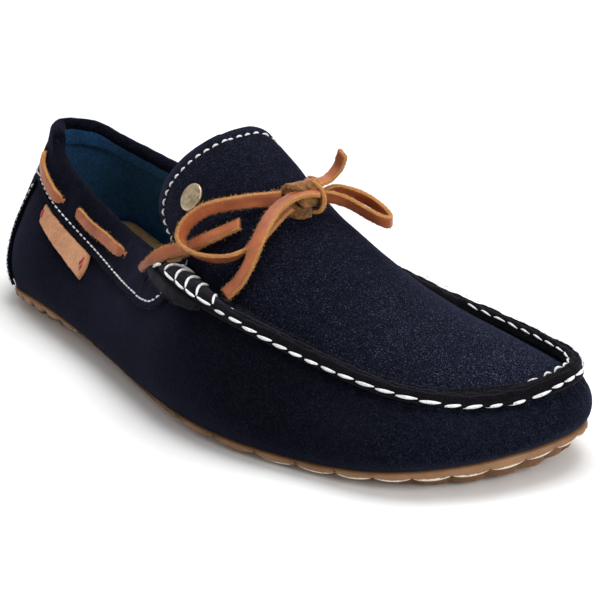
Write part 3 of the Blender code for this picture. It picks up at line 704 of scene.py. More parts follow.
def fibre_tree():
    """Tree that stands one fine bent fibre on every point of its mesh."""
    tree, w, given = new_tree("Raw edge fibres", Length="Float", Thickness="Float", Spread="Float",
                              Seed="Int", Material="Material")
    hair = w.add("GeometryNodeCurveQuadraticBezier", {
        "Resolution": 3, "Start": (0.0, 0.0, 0.0),
        "Middle": combine(w, 0.0, 0.0, w.times(given["Length"], 0.6)),
        "End": combine(w, w.times(given["Length"], 0.5), 0.0, w.times(given["Length"], 0.8))}).outputs[0]
    taper = w.math("MULTIPLY_ADD", w.add("GeometryNodeSplineParameter").outputs["Factor"], -0.6, 1.0)
    hair = cord_mesh(w, hair, given["Thickness"], 3, taper)
    spread = given["Spread"]
    back = w.times(spread, -1.0)
    lean = w.add("FunctionNodeRandomValue", {
        0: combine(w, back, back, -3.1416), 1: combine(w, spread, spread, 3.1416),
        "Seed": given["Seed"]}, data_type="FLOAT_VECTOR").outputs[0]
    turned = tilted(w, aimed(w, "up", axis="Z"), lean)
    size = chance(w, 0.35, 1.0, w.math("ADD", given["Seed"], 3.0))
    close_tree(w, given, Instance=hair, Rotation=turned, Scale=size)
    return tree


def nub_tree():
    """Tree that sets one rounded rubber nub on every point of its mesh."""
    tree, w, given = new_tree("Tread nubs", Radius="Float", Depth="Float", Unevenness="Float",
                              Seed="Int", Material="Material")
    ball = w.add("GeometryNodeMeshUVSphere", {"Segments": 12, "Rings": 6, "Radius": 1.0}).outputs[0]
    size = chance(w, w.math("SUBTRACT", 1.0, given["Unevenness"]), 1.0, given["Seed"])
    wide = w.times(size, given["Radius"])
    close_tree(w, given, Instance=ball, Scale=combine(w, wide, wide, given["Depth"]))
    return tree


def grow(name, tree, spots, fields, **inputs):
    """Plain mesh that a tree makes on the given points, in millimetres, with their vectors."""
    mesh = bpy.data.meshes.new(name)
    mesh.from_pydata(to_world(spots).tolist(), [], [])
    for key, values in fields.items():
        slot = mesh.attributes.new(key, "FLOAT_VECTOR", "POINT")
        slot.data.foreach_set("vector", np.asarray(values, np.float32).ravel())
    obj = placed(name, mesh)
    modifier = obj.modifiers.new(tree.name, "NODES")
    modifier.node_group = tree
    sockets = {item.name: item.identifier for item in tree.interface.items_tree if item.in_out == "INPUT"}
    for label, value in inputs.items():
        modifier[sockets[label]] = value
    graph = bpy.context.evaluated_depsgraph_get()
    made = bpy.data.meshes.new_from_object(obj.evaluated_get(graph))
    obj.modifiers.remove(modifier)
    obj.data = made
    made.name = name
    return obj


# ---------------------------------------------------------------- sizes and colours to change
def length(name, text, value):
    return FloatProperty(name=name, description=text, default=value, min=0.0, precision=5, unit="LENGTH")


def colour(name, text, value):
    return FloatVectorProperty(name=name, description=text, default=value, size=3, min=0.0, max=1.0,
                               subtype="COLOR")


def number(name, text, value):
    return FloatProperty(name=name, description=text, default=value, min=0.0)


def angle(name, text, degrees):
    return FloatProperty(name=name, description=text, default=math.radians(degrees), subtype="ANGLE",
                         unit="ROTATION")


class SuedeLook(bpy.types.PropertyGroup):
    """Colours of the upper and the size of its rolled rim."""
    dark: colour("Suede, nap down", "Navy of the pile lying away from the light", (0.0012, 0.0016, 0.0036))
    light: colour("Suede, nap up", "Navy of the pile where it stands up", (0.0085, 0.0104, 0.0200))
    fleck: colour("Flecks", "Pale fibre tips in the pile", (0.058, 0.062, 0.105))
    # Painted light: the top panel's colours are made this much paler than the sides', standing in for the
    # light that falls on it
    top_painted_light_gain: number("Top panel", "How much paler the top panel's nap lies", 1.35)
    raw: colour("Raw edge", "Cut edges of the suede", (0.0062, 0.0056, 0.0075))
    lining_dark: colour("Lining, nap down", "Teal of the lining in its shade", (0.0125, 0.0580, 0.1500))
    lining: colour("Lining, nap up", "Teal of the lining in the light", (0.0360, 0.1230, 0.3050))
    roll: length("Rim roll", "Radius of the rolled collar rim", 0.0028)
    fibre: length("Fibres", "Length of the loose fibres on a cut edge", 0.0010)


class LaceLook(bpy.types.PropertyGroup):
    """Size and colours of the leather lace."""
    width: length("Width", "Width of the strip", 0.0050)
    thick: length("Thickness", "Thickness of the strip", 0.0018)
    face: colour("Smooth side", "Grain side of the lace", (0.475, 0.142, 0.055))
    face_dark: colour("Smooth side, worn", "Darker streaks of the grain side", (0.225, 0.058, 0.021))
    edge: colour("Cut edge", "Torn fibres along the edges", (0.800, 0.370, 0.110))
    knot: colour("Rough side", "Flesh side that shows in the knot", (0.170, 0.055, 0.015))


class StitchLook(bpy.types.PropertyGroup):
    """Size and colour of the stitching."""
    thread: colour("Thread", "White cotton of every stitch", (0.92, 0.92, 0.925))
    seam_pitch: length("Seam pitch", "Usual distance between stitches of the raised seam", 0.0072)
    seam_length: length("Seam stitch", "Usual length of a stitch on the raised seam", 0.0070)
    seam_thread: length("Seam thread", "Thickness of the seam's thread", 0.00120)
    fine_pitch: length("Edge pitch", "Distance between stitches along the collar band", 0.0031)
    fine_length: length("Edge stitch", "Length of a stitch along the collar band", 0.0019)
    fine_thread: length("Edge thread", "Thickness of the thread along the collar band", 0.00064)
    tongue_pitch: length("Tongue pitch", "Distance between stitches along the tongue", 0.0037)
    tongue_length: length("Tongue stitch", "Length of a stitch along the tongue", 0.0027)
    tongue_thread: length("Tongue thread", "Thickness of the thread along the tongue", 0.00078)


class SoleLook(bpy.types.PropertyGroup):
    """Colours and tread of the rubber sole."""
    body: colour("Gum", "Rubber of the sole", (0.285, 0.150, 0.070))
    # Darker mottling of the rubber; scaled down, also the painted shade on the tread
    shade: colour("Gum, shade", "Darker mottling of the rubber", (0.205, 0.100, 0.043))
    # Dried cement and pale scuffs; also the painted highlight along the forefoot's scallops
    mark: colour("Cement", "Dried cement and pale scuffs", (0.780, 0.690, 0.560))
    # Tan of the insole, made paler than the leather's own as painted light, since its visible curled edge
    # lies in the shoe's shade
    sock: colour("Sock", "Leather of the insole", (1.000, 0.600, 0.250))
    notch: length("Notch", "Depth of the cuts between the tread's lobes", 0.0018)
    nub: length("Nub", "Radius of the nubs under the sole", 0.0032)


class StudioLook(bpy.types.PropertyGroup):
    """Camera and light."""
    azimuth: angle("Azimuth", "Camera's turn round the shoe", 49)
    elevation: angle("Elevation", "Camera's height over the horizon", 21.5)
    roll: angle("Roll", "Camera's tilt about its own axis", -1.8)
    distance: length("Distance", "Camera to the middle of the view", 1.0)
    lens: FloatProperty(name="Focal length", description="Lens of the camera", default=162.6, unit="CAMERA")
    floor: colour("Floor", "Plain pale floor", (0.90, 0.90, 0.90))
    key: number("Key light", "Power of the main light in watts", 10.0)
    fill: number("Fill light", "Power of the side light in watts", 7.0)
    sky: number("Sky", "Strength of the light from all round", 0.50)


class MoccasinLook(bpy.types.PropertyGroup):
    """All that a user would change."""
    suede: PointerProperty(type=SuedeLook, name="Suede", description="Upper and collar")
    lace: PointerProperty(type=LaceLook, name="Lace", description="Leather lace")
    stitch: PointerProperty(type=StitchLook, name="Stitching", description="Threads")
    sole: PointerProperty(type=SoleLook, name="Sole", description="Rubber sole and sock")
    studio: PointerProperty(type=StudioLook, name="Studio", description="Camera, lights and floor")


FINISHES = {}


def finish_of(key):
    """A finish by its plain name, made the first time it is asked for."""
    look = bpy.context.scene.moccasin
    nap, lace, white, sole = look.suede, look.lace, look.stitch.thread, look.sole
    if key not in FINISHES:
        FINISHES[key] = {
            # Side suede, with painted shade darkening it toward the heel
            "suede": lambda: suede("Navy suede", nap.dark, nap.light, nap.fleck,
                                   fleck_share=0.4, painted_shade_toward_heel=(0.07, 0.135, 0.40)),
            # Top panel: the side suede's colours made paler as painted light on the upward faces, and
            # darkened toward the throat as painted shade
            "top suede painted lighter": lambda: suede(
                "Navy suede, top panel painted lighter", scaled(nap.dark, nap.top_painted_light_gain), scaled(nap.light, nap.top_painted_light_gain),
                scaled(nap.fleck, nap.top_painted_light_gain), painted_shade_toward_heel=(0.03, 0.115, 0.5)),
            "raw": lambda: suede("Raw suede edge", scaled(nap.raw, 0.6), nap.raw,
                                 scaled(nap.raw, 6), 120.0, 0.35, 0.08, (0.7, 0.7, 0.9)),
            "lining": lambda: suede("Teal lining", nap.lining_dark, nap.lining,
                                    (0.080, 0.220, 0.460), 70.0, 0.5, 0.06, (0.3, 0.7, 1.0)),
            "lace": lambda: strap_leather("Lace leather", lace.face, lace.face_dark, lace.edge),
            "knot": lambda: rough_leather("Lace flesh side", scaled(lace.knot, 0.35),
                                          scaled(lace.edge, 0.5), 0.85, 900.0, 300.0),
            "tag": lambda: rough_leather("Tag leather", (0.42, 0.170, 0.075), (0.66, 0.33, 0.165),
                                         0.6, 900.0, 60.0),
            # Insole leather: its tan is real, its extra paleness painted light
            "sock": lambda: rough_leather("Sock leather", scaled(sole.sock, 0.6), sole.sock,
                                          0.8, 800.0, 70.0),
            "rubber": lambda: rubber("Gum rubber", sole.body, sole.shade, sole.mark),
            "thread": lambda: thread("White thread", white, scaled(white, 0.62)),
            "red": lambda: thread("Red thread", (0.55, 0.035, 0.055), (0.28, 0.015, 0.03)),
            "lint": lambda: thread("Lace fibres", lace.edge, scaled(lace.edge, 0.5)),
            "brass": lambda: aged_brass("Aged brass", (0.66, 0.53, 0.35), (0.28, 0.21, 0.13)),
            "suede fibre": lambda: rough_leather("Suede fibres", nap.raw, nap.light,
                                                 0.9, 900.0, 200.0),
        }[key]()
    return FINISHES[key]


TREES = {}


def tree_of(key):
    """A node tree by its name, built once."""
    if key not in TREES:
        TREES[key] = {"stitch": stitch_tree, "fibre": fibre_tree, "nub": nub_tree}[key]()
    return TREES[key]


def sew(name, spots, along, up, size, material="thread", slot="suede", seed=1, taper=0.72):
    """Row of stitches: size is their length, thread, arch, sink and unevenness."""
    long, thick, arch, sink, unevenness = size
    row = grow(name, tree_of("stitch"), spots, {"along": along, "up": up}, Length=long, Thread=thick,
               Arch=arch, Sink=sink, Taper=taper, Unevenness=unevenness, Seed=seed,
               Material=finish_of(material))
    return settle(row, slot)


def along_row(path, up, pitch, start=0.0, end=1.0):
    """Stitch places every pitch millimetres along a path, with its direction and its outward side."""
    run = run_length(path)
    first, last = start * run[-1], end * run[-1]
    count = max(2, round((last - first) / pitch))
    spots = first + (np.arange(count) + 0.5) * (last - first) / count
    return [read_along(run, spots, field) for field in (path, tangents(path), up)]


def join_rows(*rows):
    return [np.concatenate(parts) for parts in zip(*rows)]


def fuzz(name, path, up, per_mm, seed, length_m, jitter=0.35, thick=0.00007, spread=0.9,
         material="suede fibre", slot="suede"):
    """Loose fibres along a cut edge."""
    rng = np.random.default_rng(seed)
    run = run_length(path)
    spots = rng.uniform(0, run[-1], int(run[-1] * per_mm))
    base, ways = (read_along(run, spots, field) for field in (path, up))
    base = base + rng.normal(0, jitter, base.shape) * 0.5
    made = grow(name, tree_of("fibre"), base, {"up": unit(ways)}, Length=length_m, Thickness=thick,
                Spread=spread, Seed=seed, Material=finish_of(material))
    return settle(made, slot)


# ---------------------------------------------------------------- upper
APRON_LENGTH = 170.0      # from the toe to the throat
FLAP_STITCH = 5.2         # stitching inside the raw edge of the tongue
BAND_STITCH = 2.4         # stitching above the raw edge of the collar band
WINDOWS = [(0.86, 2.04), (2.28, 2.93)]    # stations between which the lace shows on the band
LACE_DROP = (8.0, 5.9)    # lace on the band, below the rim: in its rear and its front windows


def seam_stations(count):
    """Stations along the raised seam, outer throat to inner throat by way of the toe."""
    u = np.linspace(0.975, 0, count)
    return np.concatenate([outer_station(u), inner_station(u[::-1])[1:]])


# Height of the raised seam along it, as a share of its full section
SEAM_TALL = [
    # station, share
    (3.45, 0.55), (4.25, 0.55), (4.60, 0.75), (6.20, 0.78), (6.80, 0.66), (7.40, 0.66), (7.75, 0.90),
    (8.10, 1.00), (9.90, 1.00), (10.50, 0.75), (11.65, 0.75),
]
# Distance between the seam's stitches along it, as a share of the seam pitch
SEAM_PITCHES = [
    # station, share
    (3.45, 0.84), (4.90, 0.84), (5.15, 0.97), (5.50, 1.08), (6.40, 1.03), (6.70, 0.96), (7.20, 1.03),
    (7.60, 1.07), (7.72, 0.62), (8.20, 0.58), (8.60, 0.68), (9.30, 0.76), (9.60, 0.80), (10.00, 0.90),
    (11.65, 0.90),
]
# Heights over the edge of the stitches on the seam's outer and inner faces
OUTER_ROW = [
    # station, height
    (4.25, 1.3), (4.42, 1.3), (4.55, 0.4), (4.80, 0.1), (5.10, 0.1), (5.40, 0.7), (5.85, 1.0), (6.10, 0.8),
    (6.40, 0.4), (6.65, -0.3), (6.90, -0.4), (7.10, -0.7), (7.33, -0.8), (7.60, 0.1), (7.76, 1.1),
    (7.94, 1.7), (8.15, 2.0), (10.00, 2.0), (10.30, 0.6), (11.65, 0.6),
]
INNER_ROW = [
    # station, height
    (4.25, 0.5), (6.60, 1.6), (6.85, 2.6), (7.10, 2.4), (7.33, 2.4), (7.54, 2.8), (7.72, 3.4), (7.91, 4.0),
    (8.30, 3.4), (8.80, 3.8), (10.10, 3.9), (10.50, 2.2), (11.65, 2.2),
]
FIRST_STITCH = 4.284      # station of the first stitch after the throat's whipping


def read_row(table, t):
    """Second column of a table of stations, read at t."""
    return np.interp(t, *np.array(table).T)


def seam_count(t, pitch):
    """Stitches of the raised seam up to each station; whole and a half at their middles."""
    fine = np.linspace(OUTER - 0.1, INNER + 0.1, 1500)
    gaps = pitch * read_row(SEAM_PITCHES, (fine[1:] + fine[:-1]) / 2)
    count = np.concatenate([[0], (np.diff(run_length(wall(fine, 1.0))) / gaps).cumsum()])
    return np.interp(t, fine, count) - np.interp(FIRST_STITCH, fine, count) + 0.5


def side_relief(t, h, pitch):
    """Unevenness of the side wall: soft swells, a hollow under the seam and gathers at the toe."""
    p = wall(t, h)
    edge = wall(t, 1.0)
    drop = np.linalg.norm(p - edge, axis=-1)
    body = np.clip(np.sin(math.pi * np.clip(h, 0, 1)), 0, 1)**0.5
    swell = (0.35 * ripple(p, 46.0, 5) + 0.14 * ripple(p, 15.0, 6)) * body
    t = t % STATIONS
    seamed = smoothstep(t, OUTER, OUTER + 0.4) * (1 - smoothstep(t, INNER - 0.4, INNER))
    toe = smoothstep(t, 4.6, 6.4) * (1 - smoothstep(t, 9.8, 11.2))
    hollow = -0.7 * np.exp(-((drop - 3.5) / 2.2)**2) * seamed
    phase = seam_count(t, pitch) * 2 * math.pi
    gathers = 0.42 * toe * np.cos(phase) * np.exp(-(drop / 6.5)**1.5) * smoothstep(drop, 0.3, 1.5)
    gathers += 0.16 * seamed * np.cos(phase + 0.6) * np.exp(-(drop / 4.5)**1.5) * smoothstep(drop, 0.3, 1.5)
    return swell + hollow + gathers


# How far the tongue's raw edge reaches past the throat, as a share of the apron's length
TONGUE = [
    # across, reach
    (-0.72, 0.000), (-0.65, 0.015), (-0.60, 0.026), (-0.55, 0.021), (-0.50, 0.018), (-0.40, 0.016),
    (-0.30, 0.018), (-0.20, 0.019), (0.00, 0.021), (0.30, 0.021), (0.40, 0.020), (0.50, 0.012),
    (0.60, 0.003), (0.65, 0.000),
]
TONGUE_FADE = 20          # power of u: only the last rows of the apron reach out


def reached(u, v):
    """The apron's u moved out to the tongue's raw edge."""
    reach = np.mean([read_row(TONGUE, v + e) for e in np.linspace(-0.03, 0.03, 5)], axis=0)
    return u * (1 + reach * u**TONGUE_FADE)


def flap_rows(v, inside):
    """The apron's u that lies inside millimetres in from the tongue's raw edge."""
    v, inside = np.broadcast_arrays(np.asarray(v, float), np.asarray(inside, float))
    steps = reached(np.linspace(1, 0.75, 101), v[..., None])
    run = run_length(apron(steps, v[..., None]))
    out = np.empty(v.shape)
    for k in np.ndindex(v.shape):
        out[k] = np.interp(inside[k], run[k], steps[k])
    return out


def top_relief(u, v):
    """Unevenness of the apron: soft swells and the pressed line of the tongue's stitching."""
    p = apron(u, v)
    inner = np.clip(1 - np.abs(v), 0, 1)
    body = smoothstep(inner, 0, 0.12)
    swell = (0.3 * ripple(p, 50.0, 11) + 0.12 * ripple(p, 17.0, 12)) * body
    columns = np.linspace(-1, 1, 81)
    line = np.interp(v, columns, flap_rows(columns, FLAP_STITCH))
    away = (u - line) * APRON_LENGTH
    pressed = -0.35 * np.exp(-(away / 0.9)**2) + 0.2 * smoothstep(away, 0.3, 2.5)
    return swell + pressed * body


# Outside, inside and cut edge of each region of the upper, and the place of each region's first; the top
# regions wear suede painted lighter than the sides' as painted light
UPPER_FINISHES = [
    "suede", "lining", "raw", "top suede painted lighter", "lining", "raw", "suede", "raw", "raw", "top suede painted lighter", "raw", "raw",
]
SIDE, TOP, UNLINED_SIDE, UNLINED_TOP = 0, 3, 6, 9


def make_upper(look):
    """Side wall and apron in one napped skin with a teal lining behind it."""
    rows = np.linspace(0, 1, 151)**1.15
    collar = np.linspace(INNER, OUTER + STATIONS, 191)[1:-1]
    t = np.concatenate([outer_station(rows)[::-1], inner_station(rows)[1:], collar])
    h = 1 - np.linspace(1, 0, 37)**1.15
    tt, hh = np.meshgrid(t, h)
    side = off_wall(tt, hh, side_relief(tt, hh, look.stitch.seam_pitch / MM))
    side[-1] = wall(t, 1.0)
    faces = grid_faces(len(h), len(t), wrap_cols=True)
    s = np.linspace(-1, 1, 91)
    v = np.sign(s) * (1 - (1 - np.abs(s))**1.35)
    u, vv = np.meshgrid(rows[1:], v, indexing="ij")
    u = reached(u, vv)
    top = off_apron(u, vv, top_relief(u, vv))
    top[:, 0] = wall(outer_station(rows[1:]), 1.0)
    top[:, -1] = wall(inner_station(rows[1:]), 1.0)
    start = len(h) * len(t)
    faces += grid_faces(len(rows) - 1, len(v), start)
    tip = (len(h) - 1) * len(t) + len(rows) - 1
    faces += [[tip, start + j + 1, start + j] for j in range(len(v) - 1)]
    verts = np.concatenate([side.reshape(-1, 3), top.reshape(-1, 3)])
    vamp = (t % STATIONS > OUTER + 0.6) & (t % STATIONS < INNER - 0.6)
    indices = [UNLINED_SIDE if under else SIDE for _ in range(len(h) - 1) for under in vamp]
    tongue = rows[2:] > 0.7
    indices += [TOP if free else UNLINED_TOP for free in tongue for _ in range(len(v) - 1)]
    indices += [UNLINED_TOP] * (len(faces) - len(indices))
    upper = add_piece("Upper_Suede", verts, faces, UPPER_FINISHES, weld=0.01, indices=indices)
    shell = upper.modifiers.new("Thickness", "SOLIDIFY")
    shell.thickness = WALL * MM
    shell.offset = -1
    shell.material_offset = 1
    shell.material_offset_rim = 2
    return settle(upper, "suede", "Upper")


def instep_tree():
    """The apron's skin, kept for reading its height over points of the plan."""
    u, v = np.linspace(0, 1, 141), np.linspace(-1, 1, 121)
    grid = apron(u[:, None], v[None, :])
    return BVHTree.FromPolygons(grid.reshape(-1, 3).tolist(), grid_faces(len(u), len(v)))


def instep_height(tree, spots, fallback):
    """Height of the apron under points of the plan, or fallback outside it."""
    out = np.empty(len(spots))
    for k, (x, y) in enumerate(spots[:, :2]):
        hit = tree.ray_cast(Vector((x, y, 200.0)), Vector((0, 0, -1)))[0]
        out[k] = hit.z if hit is not None else fallback[k]
    return out


# Section of the raised seam, from low on its outer face over both cut edges to the apron
SEAM_PROFILE = [
    # place outwards, drawn in by the stitches, height, share of the wobble, share of the apron's rise
    # and how far in that is read
    (1.55, 0.20, 1.0, 0, 0.0, 2.6), (1.20, 0.35, 2.0, 0, 0.0, 2.6), (1.15, 0.20, 3.0, 0, 0.0, 2.6),
    (1.00, 0.00, 3.9, 1, 0.0, 2.6), (0.45, 0.00, 4.35, 1, 0.0, 2.6), (-0.10, 0.00, 4.3, 1, 0.0, 2.6),
    (-0.45, 0.00, 3.9, 0, 0.0, 2.6), (-0.80, 0.00, 4.3, -1, 0.0, 2.6), (-1.40, 0.00, 4.6, -1, 0.0, 2.6),
    (-2.10, 0.00, 4.4, -1, 0.0, 2.6), (-2.65, -0.15, 3.5, 0, 0.5, 2.6), (-3.00, -0.25, 2.4, 0, 0.8, 3.4),
    (-3.45, -0.20, 1.3, 0, 1.0, 3.4),
]


def make_apron_seam(look):
    """Raised seam: two cut edges of suede standing side by side, drawn in at every stitch."""
    pitch = look.stitch.seam_pitch / MM
    t = seam_stations(260)
    edge = wall(t, 1.0)
    out = outward(t)
    phase = seam_count(t, pitch) * 2 * math.pi
    pinch = 0.45 * (0.5 + 0.5 * np.cos(phase))[:, None]**2
    tree = instep_tree()

    def lie(inward):
        spot = edge - out * inward
        return (instep_height(tree, spot, edge[:, 2]) - edge[:, 2])[:, None]

    wobble = ripple(edge, 6.0, 21)[:, None] * 0.22
    lies = {k: lie(k) for k in (2.6, 3.4, 3.6)}
    tall = (1 - 0.12 * pinch) * read_row(SEAM_TALL, t)[:, None]
    drop = height_at(t, 2.0 - np.minimum(read_row(OUTER_ROW, t), 0.0))
    ring = [off_wall(t, drop, 0.35), off_wall(t, drop, 0.95)]
    for place, drawn, height, wave, settled, inward in SEAM_PROFILE:
        rise = height * tall + wave * wobble + settled * lies[inward]
        ring.append(edge + out * (place - drawn * pinch) + UP * rise)
    ring.append(edge - out * 3.6 + UP * (0.4 + lies[3.6]))
    ring.append(edge + (out + UP) * 0.3)
    ring = np.stack(ring, 1)
    ring = ring + (ripple(ring, 2.6, 22) * 0.07)[..., None] * out[:, None]
    seam = sweep("Apron_Seam_Suede", ring, ["raw"])
    round_off = seam.modifiers.new("Softening", "SUBSURF")
    round_off.levels = round_off.render_levels = 1
    return settle(seam, "suede", "Apron_Seam")


def lace_drop(t):
    """Drop of the lace under the rim, all along the band."""
    rear, front = LACE_DROP
    return rear + (front - rear) * smoothstep(np.abs(t), WINDOWS[0][1] - 0.1, WINDOWS[1][0] + 0.1)


def slit_lift(t, drop, run_of):
    """Height that the lace under the band raises it by, just past each slit."""
    lift = 0
    for first, last in WINDOWS:
        for slit, side in ((first, -1), (last, 1)):
            for mirror in (1, -1):
                spot = mirror * slit
                past = (run_of(t) - run_of(spot)) * side * mirror
                hump = smoothstep(past, -0.3, 0.5) * np.exp(-(np.maximum(past, 0) / 5.0)**2)
                lift = lift + 0.6 * hump * np.exp(-(np.abs(drop - lace_drop(t)) / 2.6)**4)
    return lift


def collar_run(t):
    """Distance along the rim to each station, zero behind the heel."""
    fine = np.linspace(INNER - STATIONS - 0.3, OUTER + 0.6, 1200)
    run = run_length(wall(fine, 1.0))
    return np.interp(t, fine, run - np.interp(0.0, fine, run))


def rim_frame(t):
    """Top edge of the wall with its outward normal and its rising direction."""
    edge = wall(t, 1.0)
    rise = unit(edge - wall(t, 0.98))
    side = off_wall(t, 1.0, 1.0) - edge
    return edge, side, rise


def rim_thinning(t):
    """How much the rolled rim's radius loses beside the near end of the band."""
    return 0.9 * np.exp(-((t - 2.95) / 0.45)**2)[:, None]


def band_lift(t, drop, depth):
    """Outside of the collar band over the wall: pressed in along its stitching, proud over the lace."""
    groove = -0.32 * np.exp(-((depth - BAND_STITCH - drop) / 0.75)**2)
    swell = 0.16 * ripple(np.stack([collar_run(t), drop, 0 * t], -1), 16.0, 31)
    return BAND_CLEAR + OVERLAY + groove + swell + slit_lift(t, drop, collar_run)


def make_collar_band(look):
    """Band sewn round the collar, rolled over the rim and tucked in over the teal facing."""
    t = np.linspace(INNER - STATIONS + 0.05, OUTER - 0.05, 560)
    edge, side, rise = rim_frame(t)
    thin = rim_thinning(t)
    roll = look.suede.roll / MM - thin
    centre = edge + side * (-WALL / 2) + rise * (0.4 - 0.4 * thin)
    depth = collar_band_depth(t) + 0.25 * ripple(edge, 5.0, 32)
    ring, tone = [], []
    outside, inside, cut = range(3)

    def add(points, finish):
        ring.append(points)
        tone.append(finish)

    add(below_rim(t, depth - 0.1, BAND_CLEAR + 0.1), cut)
    add(below_rim(t, depth, BAND_CLEAR + 0.6), cut)
    add(below_rim(t, depth - 0.25, BAND_CLEAR + OVERLAY - 0.15), outside)
    for share in np.linspace(0.06, 0.86, 21):
        drop = depth - 0.4 - share * (depth - 2.2)
        add(below_rim(t, drop, band_lift(t, drop, depth)), outside)
    for degrees in range(4, 185, 18):
        a = math.radians(degrees)
        crown = roll + 0.12 * ripple(edge + degrees, 7.0, 33)[:, None]
        add(centre + crown * (side * math.cos(a) + rise * math.sin(a)), outside)
    tone[-1] = inside
    facing = 7.4 + 0.2 * ripple(edge, 9.0, 34)
    back = -WALL - BAND_CLEAR
    for drop in (3.6, 4.8, 6.2):
        add(below_rim(t, drop, back - OVERLAY + 0.12 * ripple(edge + drop, 8.0, 35)), inside)
    add(below_rim(t, facing, back - OVERLAY + 0.15), inside)
    add(below_rim(t, facing + 0.15, back - 0.5), inside)
    add(below_rim(t, facing - 0.1, back), inside)
    add(edge + side * back + rise * BAND_CLEAR, inside)
    add(edge + side * BAND_CLEAR + rise * BAND_CLEAR, outside)
    for share in (0.25, 0.6):
        add(below_rim(t, depth * share, BAND_CLEAR), outside)
    band = sweep("Collar_Band_Suede", np.stack(ring, 1), ["suede", "lining", "raw"], indices=tone)
    settle(band, "suede", "Collar_Band")


def rounded(near):
    """Share of a layer's thickness at points a number of rows in from its edge."""
    return np.sqrt(np.clip(near / 2, 0, 1)) * 0.7 + 0.3


def rows_in(count):
    """How many rows each of count rows lies in from the nearer end."""
    return np.minimum(np.arange(count), np.arange(count)[::-1])


def overlay(name, t, drop, low, thick, finish, nodes=(), slot="suede", relief=0.12, seed=40):
    """Layer of suede or leather on the wall between grids of stations and drops, its edges rounded."""
    near = np.minimum.outer(rows_in(drop.shape[0]), rows_in(drop.shape[1]))
    p = below_rim(t, drop, low)
    top = low + thick * rounded(near) + relief * ripple(p, 9.0, seed) * np.clip(near / 3, 0, 1)
    verts, faces = sheet_solid(below_rim(t, drop, top), p)
    settle(add_piece(name, verts, faces, [finish]), slot, *nodes)


COUNTER_EDGE = [
    # station, share of the wall's height from the sole up
    (1.38, 0.0), (1.21, 0.18), (1.09, 0.36), (0.99, 0.55), (0.95, 0.75), (0.99, 0.9), (1.05, 1.0),
]


def counter_grid(rows, cols, inset=0.0):
    """Stations and heights of the heel counter, its near edge waisted."""
    share = np.linspace(0, 1, rows)
    edge = np.array(COUNTER_EDGE)
    reach = np.interp(share, edge[:, 1], edge[:, 0])
    reach = np.convolve(np.pad(reach, 4, mode="edge"), np.ones(9) / 9, mode="valid") - inset
    t = reach[:, None] * np.linspace(-1, 1, cols)[None, :]
    top = height_at(t[-1], collar_band_depth(t[-1]) + 0.35)
    h = 0.04 + share[:, None] * (np.interp(np.abs(t), np.abs(t[-1][cols // 2:]), top[cols // 2:]) - 0.04)
    return t, h


def make_heel_counter(look):
    """Waisted overlay behind the heel, from the sole up to the band."""
    t, h = counter_grid(46, 121)
    low = GAP + 0.1
    near = rows_in(t.shape[1])[None, :]
    p = off_wall(t, h, low)
    top = low + OVERLAY * rounded(near) + 0.14 * ripple(p, 12.0, 41) * np.clip(near / 3, 0, 1)
    verts, faces = sheet_solid(off_wall(t, h, top), p)
    counter = add_piece("Heel_Counter_Suede", verts, faces, ["suede"])
    settle(counter, "suede", "Heel_Counter")
    rows, fine = [], look.stitch
    line_t, line_h = counter_grid(60, 3, 0.006)
    for side in (0, -1):
        path = off_wall(line_t[:, side], line_h[:, side], low + OVERLAY)
        normal = path - off_wall(line_t[:, side], line_h[:, side], low)
        rows.append(along_row(path, unit(normal), fine.fine_pitch / MM, 0.03, 0.97))
    sew("Heel_Counter_Stitches", *join_rows(*rows),
        (fine.fine_length * 0.85, fine.fine_thread * 0.8, 0.0002, 0.0002, 0.07), seed=3, taper=0.3)
    t, h = (np.concatenate([grid[:, 0], grid[::-1, -1]]) for grid in (t, h))
    edge = off_wall(t, h, low + 1.0)
    fuzz("Heel_Counter_Fibres", edge, unit(edge - wall(t, h)), 5, 42, look.suede.fibre)


# Ear that ends the band under the throat: stations and the drop of its raw edge
EAR_EDGE = [
    (3.36, 16.1), (3.45, 15.6), (3.52, 15.0), (3.60, 14.0), (3.66, 12.6), (3.71, 10.6), (3.75, 8.2),
    (3.775, 5.6), (3.785, 3.2),
]
# Tab under the start of the seam
TAB_EDGE = [
    (3.36, 4.2), (3.44, 4.9), (3.54, 5.5), (3.66, 5.6), (3.8, 5.6), (3.92, 5.2), (4.02, 4.3), (4.12, 2.9),
]
EAR_STRETCH, STATION_MM = 100, 33     # what a station counts for along the ear's and the tab's edges


def throat_station(corner, direction, t):
    """Station on either side of the shoe of a place given on the outer side."""
    return corner + direction * (t - OUTER)


